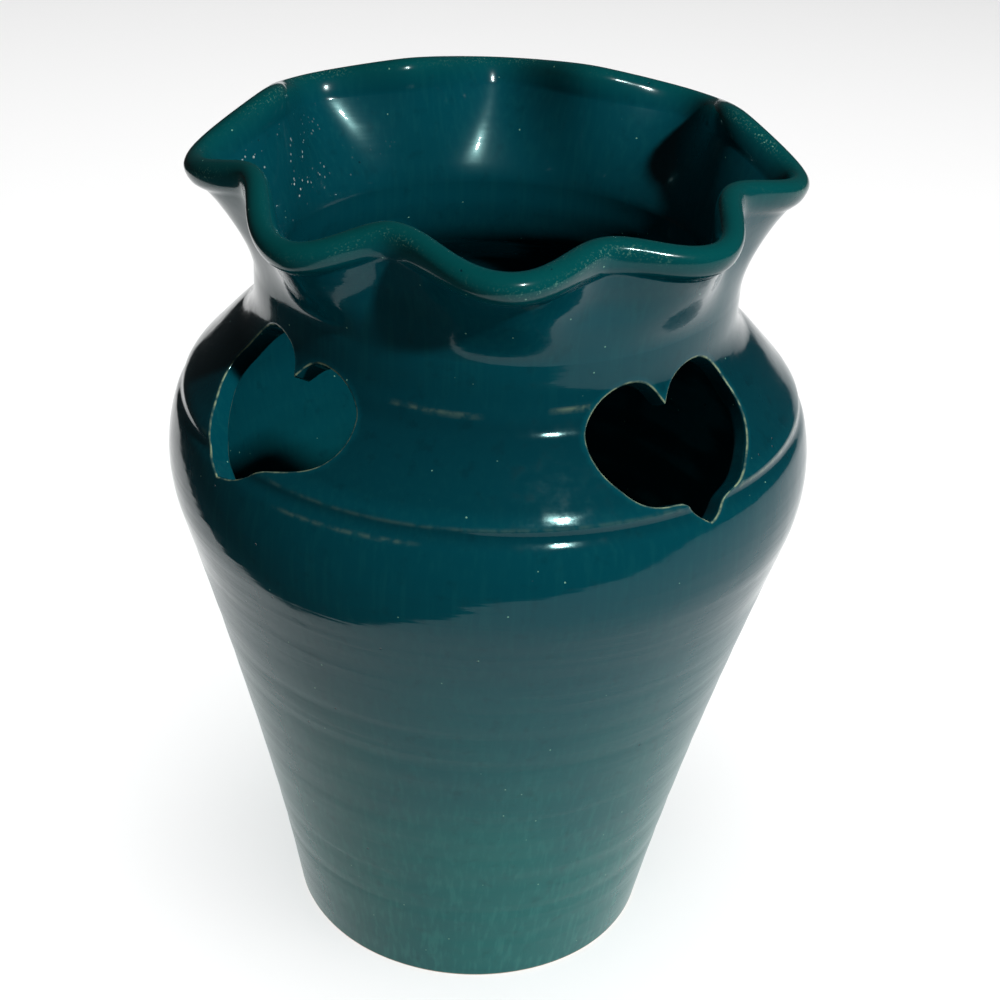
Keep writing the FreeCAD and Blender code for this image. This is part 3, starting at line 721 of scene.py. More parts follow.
def heart_outline(outset, hand):
    """The heart as cut: the hand shakes and slips, and swings the tip."""
    tip_swing, slips = hand
    outline = true_outline(outset)
    bearings = np.degrees(np.arctan2(outline[:, 1], outline[:, 0]))
    push = SHAKE * np.sin(np.radians(SHAKES_ROUND * bearings))
    for place, slip, spread in slips:
        away = (bearings - place + 180) % 360 - 180
        push = push + slip * np.exp(-((away / spread) ** 2))
    outline = outline * (1 + push * MM / np.linalg.norm(outline, axis=1))[:, None]
    outline[:, 0] += tip_swing * MM * np.clip(outline[:, 1] / tip_y, 0, None) ** 2
    return outline


for place, (azimuth, tilt, *hand) in HEARTS.items():
    across, tall = np.ptp(heart_outline(0, hand), axis=0) / MM
    print(f"Heart at the {place}, {azimuth} degrees round: {across:.1f} by {tall:.1f} mm")

# %% [markdown]
# ## The knife's way through the wall
#
# The knife came in from outside and above and kept its lean all the way round, so it left a slanted cut.
# A cut along the wall's normals would give a flared hole instead. So each point of the outline moves
# along the knife until it meets a face of the wall. That place has no formula, and it is found by
# halving: the middle of a span is tried, and the half that still holds the face is kept.

# %% Knife
HEART_HEIGHT = 194.5 * MM
KNIFE_LEAN = math.radians(30)
KNIFE_OUT, KNIFE_IN = 18 * MM, -34 * MM
HALVINGS = 40


def knife_frame(azimuth, tilt):
    """Where the knife enters, with the heart's right, its up and the way back out of the clay."""
    turn, roll = math.radians(azimuth), math.radians(tilt)
    out = np.array([math.sin(turn), -math.cos(turn), 0])
    right = np.array([math.cos(turn), math.sin(turn), 0])
    upright = np.array([0, 0, 1])
    up = upright * math.cos(KNIFE_LEAN) - out * math.sin(KNIFE_LEAN)
    back = out * math.cos(KNIFE_LEAN) + upright * math.sin(KNIFE_LEAN)
    start = out * wall_radius(HEART_HEIGHT) + upright * HEART_HEIGHT
    heart_right = right * math.cos(roll) + up * math.sin(roll)
    heart_up = up * math.cos(roll) - right * math.sin(roll)
    return start, heart_right, heart_up, back


def knife_meets(knife, outline, inset, marks):
    """Places where the knife, following the outline, goes through one face of the wall."""
    start, right, up, back = knife
    base = start + outline[:, :1] * right + outline[:, 1:] * up
    far = np.full(len(base), KNIFE_OUT)
    near = np.full(len(base), KNIFE_IN)
    for _ in range(HALVINGS):
        middle = (far + near) / 2
        place = base + middle[:, None] * back
        surface = wall_radius(place[:, 2], inset) + marks(turn_of(place), place[:, 2])
        beyond = np.hypot(place[:, 0], place[:, 1]) > surface
        far = np.where(beyond, middle, far)
        near = np.where(beyond, near, middle)
    return base + far[:, None] * back


print(f"Halving finds the face to {(KNIFE_OUT - KNIFE_IN) / MM / 2**HALVINGS:.0e} mm")

# %% [markdown]
# ## Room for a hole
#
# The shoulder starts as two woven faces. Where a heart comes, the quads near it are left out. They could
# be picked by hand in edit mode, but the hearts may move. So the wall is laid flat like a sheet of paper
# that was wrapped round it, and a quad goes if one of its corners lies inside the outline. What counts
# afterwards is the rim of the gap: the edges that only one of the dropped quads has.

# %% Room for a hole
def inside_outline(places, outline):
    """True for the flat places that an outline encloses."""
    x, y = places[..., 0, None], places[..., 1, None]
    x0, y0 = outline[:, 0], outline[:, 1]
    x1, y1 = np.roll(x0, -1), np.roll(y0, -1)
    crosses = (y0 > y) != (y1 > y)
    with np.errstate(divide="ignore", invalid="ignore"):
        left_of = x < x0 + (y - y0) * (x1 - x0) / (y1 - y0)
    return np.logical_xor.reduce(crosses & left_of, axis=-1)


def unrolled(places):
    """The wall laid flat: the turn as a length on the belly, and the height."""
    turn = turn_of(places) % (2 * math.pi)
    return np.stack([turn * BELLY_RADIUS, places[..., 2]], axis=-1)


def quads_near(flat, outline):
    """True for the quads that have a corner inside an outline."""
    covered = inside_outline(flat, outline)
    either = covered | np.roll(covered, -1, axis=1)
    return either[:-1] | either[1:]


def rim_of(dropped):
    """The edges round the dropped quads, as pairs of corners, without those that two of them share."""
    rim = {}
    for row, column in zip(*np.nonzero(dropped)):
        corners = [(row, column), (row, column + 1), (row + 1, column + 1), (row + 1, column)]
        for first, second in zip(corners, corners[1:] + corners[:1]):
            if (second, first) in rim:
                del rim[(second, first)]
            else:
                rim[(first, second)] = True
    return list(rim)


print(f"The wall laid flat is {2 * math.pi * BELLY_RADIUS / MM:.0f} mm long")

# %% [markdown]
# ## Stitching a hole into the wall
#
# A strip stays open between the gap's rim and the heart's ring. Filling it by hand would be slow, and
# Blender's grid fill needs as many points on both sides. A Delaunay net joins any points with triangles
# that are as even as can be and keeps the edges that it is given. It also fills the heart and whatever
# lies outside the gap, so only the triangles in the strip are kept.

# %% Stitching
NET_TOLERANCE = 1e-9


def stitch(clay, numbers, flat, ring_numbers, ring_flat, gap_flat, outwards):
    """Leaves out the quads near a ring and fills the strip with triangles. Returns which quads stay."""
    dropped = quads_near(flat, gap_flat)
    rim = rim_of(dropped)
    corners = sorted({corner for edge in rim for corner in edge})
    order = {corner: place for place, corner in enumerate(corners)}
    all_numbers = [numbers[corner] for corner in corners] + list(ring_numbers)
    spots = [Vector(flat[corner]) for corner in corners] + [Vector(spot) for spot in ring_flat]
    edges = [(order[first], order[second]) for first, second in rim]
    ring_order = range(len(corners), len(spots))
    edges += list(zip(ring_order, [*ring_order[1:], ring_order[0]]))
    net_spots, _, net_faces, sources, *_ = delaunay_2d_cdt(spots, edges, [], 0, NET_TOLERANCE)
    places = np.array([spot[:] for spot in net_spots])
    step_across = flat[0, 1, 0] - flat[0, 0, 0]
    rows, columns = dropped.shape
    for face in net_faces:
        middle = places[list(face)].mean(axis=0)
        row = np.searchsorted(flat[:, 0, 1], middle[1]) - 1
        column = int(middle[0] // step_across)
        on_wall = 0 <= row < rows and 0 <= column < columns
        if on_wall and dropped[row, column] and not inside_outline(middle, ring_flat):
            triangle = [int(all_numbers[sources[corner][0]]) for corner in face]
            clay.faces.append(triangle if outwards else triangle[::-1])
    return ~dropped


print(f"The net joins points that are within {NET_TOLERANCE:.0e} m of each other")

# %% [markdown]
# ## The pierced shoulder's faces
#
# Now the shoulder itself. Its rows lie closer where the needle's line is, because a fine groove needs
# them and the rest of the wall doesn't. Thin pale lines are painted highlights along thin ridges, where
# needle, knife and rib touched the wall. They could be cut into the mesh as ridges, but here they are a
# change of colour, so they share the note for worn edges: each is a height, the bearing of its middle,
# half its length in degrees, and how pale.

# %% Faces of the shoulder
LINE_FROM, LINE_TO = 175, 188
STEP_BELOW, STEP_AT_LINE, STEP_ABOVE = 1.0, 0.4, 0.7
INSIDE_ROWS = 50
# Painted highlights: pale lines where thin ridges would catch the light.
PAINTED_HIGHLIGHT_LINES = [
    (182.4, 0, 180, 0.08), (182.2, 62, 20, 0.25), (205.5, -12, 9, 0.16), (206.5, 18, 4, 0.3),
    (177.4, -24, 12, 0.14),
]
HIGHLIGHT_LINE_WIDTH, HIGHLIGHT_LINE_WANDER = 0.45, 0.4
HIGHLIGHT_LINE_END = 2

shoulder_levels = np.concatenate([
    np.arange(LOWER_SEAM / MM, LINE_FROM, STEP_BELOW),
    np.arange(LINE_FROM, LINE_TO, STEP_AT_LINE),
    np.arange(LINE_TO, COLLAR / MM, STEP_ABOVE),
])
shoulder_heights = np.append(shoulder_levels * MM, COLLAR)[:, None]
inside_heights = np.linspace(LOWER_SEAM, COLLAR, INSIDE_ROWS)[:, None]


def painted_highlight_lines(turn, height):
    """How pale the painted highlight lines make the glaze."""
    pale = 0 * turn * height
    for level, bearing, half, strength in PAINTED_HIGHLIGHT_LINES:
        away = np.abs((np.degrees(turn) - bearing + 180) % 360 - 180)
        ends = np.clip((half + HIGHLIGHT_LINE_END - away) / (2 * HIGHLIGHT_LINE_END), 0, 1)
        middle = level + HIGHLIGHT_LINE_WANDER * np.sin(5 * turn + level)
        pale = pale + strength * ends * np.exp(-(((height / MM - middle) / HIGHLIGHT_LINE_WIDTH) ** 2))
    return pale


shoulder = Clay()
# The pale lines on the outer face are painted highlights.
outer_numbers = shoulder.add(
    outer_face(TURNS, shoulder_heights), facing(outer_face, TURNS, shoulder_heights, FACE_STEP),
    glaze_pool=glaze_pools(TURNS, shoulder_heights), edge_wear=painted_highlight_lines(TURNS, shoulder_heights),
)
# The inner faces take painted shade.
inner_numbers = shoulder.add(
    inner_face(TURNS, inside_heights), -facing(inner_face, TURNS, inside_heights, FACE_STEP),
    glaze_pool=INSIDE_PAINTED_SHADE,
)
print(f"{len(shoulder_heights)} rows outside, {len(inside_heights)} inside, {len(PAINTED_HIGHLIGHT_LINES)} scratches")

# %% [markdown]
# ## The rings of a cut
#
# The cut is a set of rings: round the outer edge, through the wall, round the inner edge. A Bevel
# modifier could round the edges, but it would round the tip and the notch unevenly. Here each ring of the
# round is the outline itself, moved outwards and into the clay by its share of the round. The rounds
# carry the note for worn glaze: glaze draws back from any sharp edge while it melts, and there the pale
# clay shows through.

# %% Rings of a cut
EDGE_ROUND = 0.7 * MM
EDGE_STEPS = 6
CUT_STEPS = 7
OUTER_WEAR = (0.3, 0.9, 0.8)
INNER_WEAR = (0.3, 0.3)


def edge_rings(knife, hand, inset, marks, inwards):
    """Rings that round one edge of the cut, from the face's own ring to the wall of the cut."""
    *_, back = knife
    rings = []
    for angle in np.linspace(0, math.pi / 2, EDGE_STEPS):
        outset = EDGE_ROUND * (1 - math.sin(angle))
        depth = EDGE_ROUND * (1 - math.cos(angle))
        ring = knife_meets(knife, heart_outline(outset, hand), inset, marks)
        rings.append(ring - inwards * depth * back)
    return np.array(rings)


def cut_rings(knife, hand):
    """All rings of one cut, from the outer face of the wall to the inner one."""
    outer_rings = edge_rings(knife, hand, 0, hand_marks, 1)
    inner_rings = edge_rings(knife, hand, WALL, finger_rings, -1)[::-1]
    share = np.linspace(0, 1, CUT_STEPS)[1:-1, None, None]
    between = outer_rings[-1] * (1 - share) + inner_rings[0] * share
    return np.concatenate([outer_rings, between, inner_rings])


print(f"A cut has {2 * EDGE_STEPS + CUT_STEPS - 2} rings, and its edges a round of {EDGE_ROUND / MM:.1f} mm")

# %% [markdown]
# ## Cutting the hearts
#
# Now each heart goes in: its rings are woven like the wall's rows, their first and last take the wall's
# own normals, and both faces are stitched to them. Four boolean cutters could be looped over in the same
# way, but these rings leave even faces at the edge. At the end the rows of both faces are woven with the
# quads that stay. The inner ones are turned over, so that their faces look into the pot.

# %% Cut hearts
NET_GAP = 1.0 * MM


def cut_heart(azimuth, tilt, hand):
    """Adds the rings of one cut to the shoulder, stitches them in, and returns which quads stay."""
    knife = knife_frame(azimuth, tilt)
    rings = cut_rings(knife, hand)
    worn_and_highlighted = np.zeros(len(rings))
    worn_and_highlighted[1:1 + len(OUTER_WEAR)] = OUTER_WEAR
    worn_and_highlighted[-2 - len(INNER_WEAR):-2] = INNER_WEAR
    normals = np.zeros_like(rings)
    normals[0] = facing(outer_face, turn_of(rings[0]), rings[0][:, 2], FACE_STEP)
    normals[-1] = -facing(inner_face, turn_of(rings[-1]), rings[-1][:, 2], FACE_STEP)
    numbers = shoulder.add(rings, normals, edge_wear=worn_and_highlighted[:, None])
    shoulder.weave(numbers)
    gap = heart_outline(EDGE_ROUND + NET_GAP, hand)
    outer_gap = unrolled(knife_meets(knife, gap, 0, hand_marks))
    inner_gap = unrolled(knife_meets(knife, gap, WALL, finger_rings))
    outer_ring, inner_ring = unrolled(rings[0]), unrolled(rings[-1])
    outer_stays = stitch(shoulder, outer_numbers, outer_flat, numbers[0], outer_ring, outer_gap, True)
    inner_stays = stitch(shoulder, inner_numbers, inner_flat, numbers[-1], inner_ring, inner_gap, False)
    return outer_stays, inner_stays


outer_flat = np.stack(np.broadcast_arrays(TURNS * BELLY_RADIUS, shoulder_heights), axis=-1)
inner_flat = np.stack(np.broadcast_arrays(TURNS * BELLY_RADIUS, inside_heights), axis=-1)
outer_keep = np.full((len(shoulder_heights) - 1, COLUMNS), True)
inner_keep = np.full((len(inside_heights) - 1, COLUMNS), True)
for place, (azimuth, tilt, *hand) in HEARTS.items():
    outer_stays, inner_stays = cut_heart(azimuth, tilt, hand)
    outer_keep &= outer_stays
    inner_keep &= inner_stays
    print(f"Heart at the {place}: {np.count_nonzero(~outer_stays)} quads left out")
shoulder.weave(outer_numbers, outer_keep)
shoulder.weave(inner_numbers[::-1], inner_keep[::-1])
shoulder.weave(np.vstack([outer_numbers[-1:], inner_numbers[-1:]]))
shoulder.weave(np.vstack([inner_numbers[:1], outer_numbers[:1]]))
pierced_shoulder = shoulder.fire("pierced_shoulder", wall_glaze)

# %% [markdown]
# ## The waved lip's path
#
# The rim was pulled outwards with a wet finger, lobe by lobe, while the clay was soft. A single sine wave
# would make a pie crust, and no two lobes here are alike, because a hand made them. So each pull is a
# bearing, a share of a full lobe's reach and a share of its droop, with negative shares for the folds
# between. Between two pulls the path eases over like a cosine.

# %% Path of the lip
LIP_RADIUS = 77 * MM
LIP_HEIGHT = 249.5 * MM
LOBE_REACH = 7 * MM
LOBE_DROOP = 2.5 * MM
LIP_LEAN = math.radians(23)
LOBE_LEAN = math.radians(15)
PATH_STEP = math.radians(2.8)
PULLS = [
    (2, 1.00, 0.80), (22.5, -0.95, -0.10), (43, 0.35, 1.00), (66, -1.45, -0.60),
    (92, 0.68, 1.60), (114, -0.70, -1.60), (136.5, 1.00, 0.80), (159, -1.00, -1.20),
    (182, 1.00, 0.60), (204.5, -1.00, -1.20), (227.5, 1.00, 0.80), (250, -0.80, -1.80),
    (273, 0.98, 1.80), (295, -0.70, -0.60), (320, 0.80, 2.00), (338.5, -0.85, -0.80),
]
pulls = np.array([(*pull, 1 - number % 2) for number, pull in enumerate(PULLS)])
whole_turn = np.array([360, 0, 0, 0])
pulls_round = np.vstack([pulls[-1] - whole_turn, pulls, pulls[0] + whole_turn])


def lip_shares(turn):
    """Shares of reach and droop at a turn, and a third that is one on a lobe and nothing in a fold."""
    degrees = np.degrees(turn) % 360
    nearest = np.searchsorted(pulls_round[:, 0], degrees, side="right")
    before, after = pulls_round[nearest - 1], pulls_round[nearest]
    ease = (1 - np.cos(math.pi * (degrees - before[..., 0]) / (after[..., 0] - before[..., 0]))) / 2
    return (before + (after - before) * ease[..., None])[..., 1:]


def lip_middle(turn):
    shares = lip_shares(turn)
    radius = LIP_RADIUS + LOBE_REACH * shares[..., 0]
    return round_the_pot(turn, radius, LIP_HEIGHT - LOBE_DROOP * shares[..., 1])


def lip_place(turn, across, rise):
    """A place beside the lip's path: across it, outwards, and up along its lean."""
    turn = np.asarray(turn, float)
    along = lip_middle(turn + PATH_STEP) - lip_middle(turn - PATH_STEP)
    outward = np.stack([along[..., 1], -along[..., 0], 0 * turn], axis=-1)
    outward /= np.linalg.norm(outward, axis=-1, keepdims=True)
    lean = (LIP_LEAN + LOBE_LEAN * lip_shares(turn)[..., 0])[..., None]
    upright = np.array([0, 0, 1])
    side = outward * np.cos(lean) - upright * np.sin(lean)
    rising = outward * np.sin(lean) + upright * np.cos(lean)
    return lip_middle(turn) + side * np.asarray(across)[..., None] + rising * np.asarray(rise)[..., None]


print(f"{len(PULLS) // 2} lobes on a path {2 * LIP_RADIUS / MM:.0f} mm across")

# %% [markdown]
# ## The neck's two faces
#
# The neck is round at the collar and waved at the top. A loft would join the two, but a cubic Bezier
# between the collar's circle and the lip's path, one for every turn, does the same with a formula, so the
# shading stays true. Fingers that held the rim from below left shallow hollows under the lobes and the
# folds, and each fold swells a little just under the lip. A hollow is its depth, the share of the neck's
# height, and its width.

# %% Faces of the neck
NECK_UPRIGHT = 6 * MM
NECK_TOP = 5.5 * MM
FLARE = 10 * MM
LIP_SEAT = -4 * MM
NECK_END = 0.95
LOBE_HOLLOW = (0.6 * MM, 0.85, 0.20)
FOLD_HOLLOW = (0.6 * MM, 0.66, 0.17)
FOLD_SWELL, SWELL_START = 0.5 * MM, 0.55


def hollow_under_lip(share, depth, middle, width):
    return depth * np.exp(-(((share - middle) / width) ** 2))


def neck_face(turn, share, side):
    """One side of the neck's wall: side 1 is the outer face, side -1 the inner one."""
    turn = np.asarray(turn, float)
    share = np.asarray(share, float)[..., None]
    ring = NECK_RADIUS if side > 0 else NECK_RADIUS - WALL
    foot = round_the_pot(turn, ring, COLLAR)
    stand = round_the_pot(turn, ring, COLLAR + NECK_UPRIGHT)
    flare = lip_place(turn, side * NECK_TOP / 2, LIP_SEAT - FLARE)
    seat = lip_place(turn, side * NECK_TOP / 2, LIP_SEAT)
    rest = 1 - share
    place = rest**3 * foot + 3 * rest**2 * share * stand + 3 * rest * share**2 * flare + share**3 * seat
    marks = hand_marks if side > 0 else finger_rings
    push = marks(turn, place[..., 2])[..., None] * rest
    if side > 0:
        lobes = lip_shares(turn)[..., 2, None]
        swelling = FOLD_SWELL * np.clip((share - SWELL_START) / (NECK_END - SWELL_START), 0, None) ** 2
        push = push - hollow_under_lip(share, *LOBE_HOLLOW) * lobes
        push = push + (swelling - hollow_under_lip(share, *FOLD_HOLLOW)) * (1 - lobes)
    return place + push * round_the_pot(turn, 1.0, 0.0)


def neck_outside(turn, share):
    return neck_face(turn, share, 1)


def neck_inside(turn, share):
    return neck_face(turn, share, -1)


neck_tops = neck_outside(TURNS, np.full(COLUMNS, NECK_END))
print(f"The neck ends {neck_tops[:, 2].min() / MM:.1f} to {neck_tops[:, 2].max() / MM:.1f} mm up")

# %% [markdown]
# ## The fluted neck
#
# The neck's rows are woven like the wall's: up the outside, over the top and down the inside. The inside
# shows through the mouth, so it gets its own notes. Painted glints of crystals whiten one side of it,
# painted shade darkens it towards the shoulder, and the gloss is soft, which spreads the bright points
# there. Paint on a texture could do that, but notes at the points follow the shape and need no unwrapping.

# %% Fluted neck
NECK_ROWS = 56
NECK_STEP = 0.002
GLINTS_AT, GLINTS_WIDTH = 268, 28
INNER_SHADE_END = 0.8
every_turn, every_share = np.broadcast_arrays(TURNS, np.linspace(0, NECK_END, NECK_ROWS)[:, None])
# Painted glints: white specks on one side of the inner neck.
from_glints = (np.degrees(every_turn) - GLINTS_AT + 180) % 360 - 180
frosting = np.exp(-((from_glints / GLINTS_WIDTH) ** 2)) * np.sin(math.pi * every_share)
# Painted shade: the inside of the neck darkens towards the shoulder.
inner_painted_shade = INSIDE_PAINTED_SHADE * np.clip(1 - every_share / INNER_SHADE_END, 0, 1)
inside_normals = -facing(neck_inside, every_turn, every_share, NECK_STEP)
neck = Clay()
outer_numbers = neck.add(
    neck_outside(every_turn, every_share), facing(neck_outside, every_turn, every_share, NECK_STEP),
)
inner_numbers = neck.add(
    neck_inside(every_turn, every_share)[::-1], inside_normals[::-1],
    frosting=frosting[::-1], glaze_pool=inner_painted_shade[::-1], soft_gloss=1.0,
)
neck.weave(np.vstack([outer_numbers, inner_numbers, outer_numbers[:1]]))
fluted_neck = neck.fire("fluted_neck", wall_glaze)

# %% [markdown]
# ## The lip's section
#
# A soft roll of clay finishes the rim. Its section swells out of the neck's wall, goes over the crest and
# comes back down inside. A circle swept along a curve would make a hose, so the section is a short list
# of places, in millimetres across and up, that a smooth curve runs through. It is slimmer under a lobe
# than under a fold, where the clay was pushed together, and the two sections blend on the way round.

# %% Section of the lip
OVER_CREST = [(2.95, 3.1), (1.3, 4.15), (-0.6, 4.2), (-2.2, 3.4), (-3.2, 1.6), (-3.4, -0.6), (-3.2, -2.8)]
INTO_NECK = [(-2.85, -4.6), (-2.75, -5.5)]
LOBE_SECTION = [(2.6, -5.5), (2.8, -4.5), (3.4, -3.2), (3.95, -1.2), (3.75, 1.2)] + OVER_CREST + INTO_NECK
FOLD_SECTION = [(3.55, -5.5), (3.7, -4.3), (3.85, -3.0), (3.95, -1.2), (3.7, 1.1)] + OVER_CREST + INTO_NECK
STEPS_BETWEEN = 4


def smooth_through(places, steps):
    """A smooth curve through places, with how far down their list each of its points is."""
    ends = np.vstack([2 * places[0] - places[1], places, 2 * places[-1] - places[-2]])
    reached = np.linspace(0, len(places) - 1, (len(places) - 1) * steps + 1)
    start = np.minimum(reached.astype(int), len(places) - 2)
    t = (reached - start)[:, None]
    a, b, c, d = (ends[start + k] for k in range(4))
    squared, cubed = 2 * a - 5 * b + 4 * c - d, 3 * b - a - 3 * c + d
    return reached, 0.5 * (2 * b + (c - a) * t + squared * t**2 + cubed * t**3)


reached, lobe_curve = smooth_through(np.array(LOBE_SECTION) * MM, STEPS_BETWEEN)
fold_curve = smooth_through(np.array(FOLD_SECTION) * MM, STEPS_BETWEEN)[1]
lobes = lip_shares(TURNS)[:, 2:]
lip_curve = lobe_curve[:, None] * lobes + fold_curve[:, None] * (1 - lobes)
print(f"The lip is {np.ptp(lobe_curve[:, 0]) / MM:.1f} mm thick, in {len(reached)} rows")

# %% [markdown]
# ## The rolled lip
#
# The section is swept along the waved path. A curve's bevel could do that, but it couldn't start on the
# very rows where the neck stops. Here the first and last rows are moved onto the neck's edge, and the
# move eases out over the next places of the section, so neck and lip share one smooth surface. The glaze
# drew thin over the crest and wore along both of its shoulders.

# %% Rolled lip
LIP_SWELLS = [(3, 0.04, 1), (7, 0.03, 0)]
EASE_PLACES = 3
WORN_SHOULDERS, WEAR_WIDTH = (4.8, 8.3), 0.8
RIM_THINNING = 0.75


def ease_out(steps):
    """One at the neck's edge, and nothing from a few places of the section onwards."""
    return 0.5 + 0.5 * np.cos(math.pi * np.clip(steps / EASE_PLACES, 0, 1))


swell = 1 + sum(depth * np.sin(waves * TURNS + start) for waves, depth, start in LIP_SWELLS)
lip_turns = np.broadcast_to(TURNS, lip_curve.shape[:2])
lip_points = lip_place(lip_turns, lip_curve[..., 0] * swell, lip_curve[..., 1])
neck_edge = np.full(COLUMNS, NECK_END)
outer_miss = neck_outside(TURNS, neck_edge) - lip_points[0]
inner_miss = neck_inside(TURNS, neck_edge) - lip_points[-1]
lip_points += ease_out(reached)[:, None, None] * outer_miss
lip_points += ease_out(reached[-1] - reached)[:, None, None] * inner_miss
lip_normals = np.zeros_like(lip_points)
lip_normals[0] = facing(neck_outside, TURNS, neck_edge, NECK_STEP)
lip_normals[-1] = -facing(neck_inside, TURNS, neck_edge, NECK_STEP)
lip_wear = sum(np.exp(-((reached - place) / WEAR_WIDTH) ** 2) for place in WORN_SHOULDERS)
rim_thin = RIM_THINNING * np.sin(math.pi * reached / reached[-1]) ** 2
lip = Clay()
lip_numbers = lip.add(lip_points, lip_normals, edge_wear=lip_wear[:, None], rim_thin=rim_thin[:, None])
lip.weave(np.vstack([lip_numbers, lip_numbers[:1]]))
rolled_lip = lip.fire("rolled_lip", lip_glaze)

# %% [markdown]
# ## The floor sheet
#
# A gloss glaze shows whatever stands round it, so the surroundings are most of the picture. A pale sheet
# lies under the vase and ends half a metre in front of it: the lower wall mirrors the sheet, and above
# the belly, where the mirror looks past the sheet's edge, the glaze turns deep and dark. A plane without
# end would pale the whole wall, so the sheet has corners, in metres, that put its edge where the glaze
# should turn.
#
# The sheet shows only from above. Its underside is see-through, so that the foot can be looked at from
# below.

# %% Floor sheet
PALE_PAPER = (0.9, 0.9, 0.9, 1)
PAPER_ROUGHNESS = 0.9
SHEET_DROP = -0.2 * MM
SHEET = [
    (-0.46, 1.9), (-0.46, 0.35), (-0.40, 0.20), (-0.33, 0.11), (-0.25, 0.02), (-0.165, -0.06),
    (-0.115, -0.14), (-0.07, -0.23), (0.0, -0.36), (0.12, -0.43), (0.35, -0.47), (1.5, -0.47), (1.5, 1.9),
]

paper = Shader("pale sheet")
paper.surface.inputs["Base Color"].default_value = PALE_PAPER
paper.surface.inputs["Roughness"].default_value = PAPER_ROUGHNESS
paper.surface.inputs["Specular IOR Level"].default_value = 0.0
see_through = paper.make("BsdfTransparent", {}).outputs["BSDF"]
underside = paper.make("NewGeometry", {}).outputs["Backfacing"]
one_sided = paper.make("MixShader", {"Fac": underside, 1: paper.surface.outputs["BSDF"], 2: see_through})
paper.join(paper.tree.nodes["Material Output"].inputs["Surface"], one_sided.outputs["Shader"])

sheet_mesh = bpy.data.meshes.new("pale sheet")
sheet_mesh.from_pydata([(x, y, SHEET_DROP) for x, y in SHEET], [], [list(range(len(SHEET)))])
sheet_mesh.materials.append(paper.material)
sheet = bpy.data.objects.new("pale_sheet", sheet_mesh)
bpy.context.scene.collection.objects.link(sheet)
sheet.visible_diffuse = False
sheet.visible_shadow = False
print("Floor sheet of", len(SHEET), "corners")

# %% [markdown]
# ## Lamps
#
# One hard, high light from the right gives the shadows and the bright points, and a white floor throws a
# glow upwards. One lamp could do the first, but on this shoulder its shadows and its bright points would
# not both fall where they should. So the key lamp makes the light and shade and stays out of the mirror,
# and the glint lamp shows in the mirror alone. The floor glow is a lamp just under the sheet, which
# throws no shadow, and a soft lamp behind keeps the back from going black.
#
# Light linking is a list of the objects that a lamp may reach. With it, two wide lamps whiten the sheet
# without a broad glare on the vase. The second one is linked so that only the sheet can block it, and it
# brightens the vase's shadow.

# %% Lamps
vase = [floor_slab, lower_wall, pierced_shoulder, fluted_neck, rolled_lip]
AIM = Vector((0, 0, 150 * MM))


def lamp(name, azimuth, elevation, distance, size, power, reaches):
    """A square lamp that looks at the vase. Its azimuth is counted from the camera's side towards +X."""
    turn, rise = math.radians(azimuth), math.radians(elevation)
    data = bpy.data.lights.new(name, "AREA")
    data.size = size
    data.energy = power
    made = bpy.data.objects.new(name, data)
    away = Vector((math.sin(turn) * math.cos(rise), -math.cos(turn) * math.cos(rise), math.sin(rise)))
    made.location = AIM + away * distance
    made.rotation_euler = away.to_track_quat("Z", "Y").to_euler()
    bpy.context.scene.collection.objects.link(made)
    group = bpy.data.collections.new(name + " reaches")
    for piece in reaches:
        group.objects.link(piece)
    made.light_linking.receiver_collection = group
    made.visible_camera = False
    print(f"{name}: {power} W at {distance} m")
    return made


round_vase = {"distance": 2.0, "reaches": vase}
key_lamp = lamp("small key lamp", azimuth=42, elevation=41, size=0.1, power=44, **round_vase)
key_lamp.visible_glossy = False
glint_lamp = lamp("glint lamp", azimuth=30, elevation=42, size=0.1, power=44, **round_vase)
glint_lamp.visible_diffuse = False
back_lamp = lamp("soft back lamp", azimuth=180, elevation=12, size=0.8, power=25, **round_vase)
back_lamp.visible_glossy = False
glow_lamp = lamp("floor glow", azimuth=0, elevation=-90, distance=0.165, size=1.0, power=2.2, reaches=vase)
glow_lamp.visible_glossy = False
over_sheet = {"azimuth": 20, "elevation": 80, "distance": 2.2, "size": 2.4, "reaches": [sheet]}
lamp("sheet lamp", power=38, **over_sheet)
even_lamp = lamp("even sheet lamp", power=58, **over_sheet)
even_lamp.light_linking.blocker_collection = even_lamp.light_linking.receiver_collection

# %% [markdown]
# ## Surroundings
#
# The space round the vase is dark to the glaze, so that its mirror stays deep, but white to the camera. A
# white backdrop would show in the glaze as well. The Light Path node tells the two kinds of ray apart.

# %% Surroundings
WORLD_TO_GLAZE, WORLD_TO_CAMERA = 0.03, 1.0

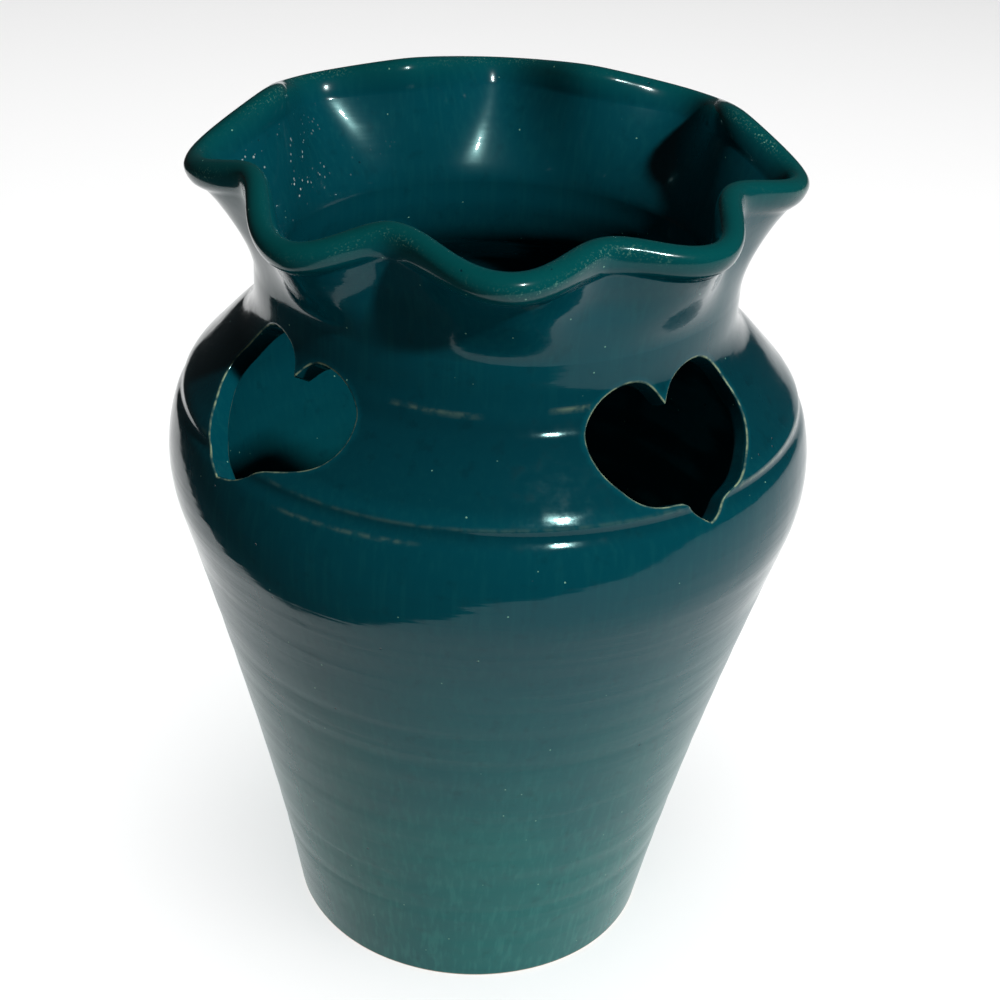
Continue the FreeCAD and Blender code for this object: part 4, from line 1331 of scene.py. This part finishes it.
world = bpy.data.worlds.new("surroundings")
world.use_nodes = True
bpy.context.scene.world = world
background = world.node_tree.nodes["Background"]
background.inputs["Color"].default_value = (1, 1, 1, 1)
seen = world.node_tree.nodes.new("ShaderNodeLightPath")
shade = world.node_tree.nodes.new("ShaderNodeMapRange")
shade.inputs["To Min"].default_value = WORLD_TO_GLAZE
shade.inputs["To Max"].default_value = WORLD_TO_CAMERA
world.node_tree.links.new(seen.outputs["Is Camera Ray"], shade.inputs["Value"])
world.node_tree.links.new(shade.outputs["Result"], background.inputs["Strength"])
bpy.context.scene.view_settings.view_transform = "Standard"
print(f"Surroundings: {WORLD_TO_GLAZE} to the glaze, {WORLD_TO_CAMERA} to the camera")

# %% [markdown]
# ## Camera
#
# The camera looks down on the vase by thirty degrees from 0.6 m away, and it is rolled by three degrees.
# A Track To constraint could aim it, but it would not keep the roll, so its three axes are worked out and
# put into its matrix. Its place was found by lining up the foot, the belly, the lip and both front
# hearts.

# %% Camera
CAMERA_PLACE = Vector((0, -520 * MM, 438.5 * MM))
CAMERA_LENS = 70.7
NEAREST = 10 * MM
LOOK_DOWN = math.radians(29.83)
LOOK_RIGHT = math.radians(0.46)
ROLL = math.radians(3.05)

level = math.cos(LOOK_DOWN)
ahead = Vector((math.sin(LOOK_RIGHT) * level, math.cos(LOOK_RIGHT) * level, -math.sin(LOOK_DOWN)))
level_side = ahead.cross(Vector((0, 0, 1))).normalized()
level_up = level_side.cross(ahead)
camera_side = level_side * math.cos(ROLL) + level_up * math.sin(ROLL)
camera_up = level_up * math.cos(ROLL) - level_side * math.sin(ROLL)
camera_axes = Matrix((camera_side, camera_up, -ahead)).transposed()
camera_data = bpy.data.cameras.new("camera")
camera_data.lens = CAMERA_LENS
camera_data.clip_start = NEAREST
camera = bpy.data.objects.new("camera", camera_data)
camera.matrix_world = Matrix.Translation(CAMERA_PLACE) @ camera_axes.to_4x4()
bpy.context.scene.collection.objects.link(camera)
bpy.context.scene.camera = camera
print("Camera", round((camera.location - AIM).length, 3), "m from the middle of the vase")

# %% [markdown]
# ## The object's size
#
# Blender must not change the object's size. A ruler in the viewport would show that.
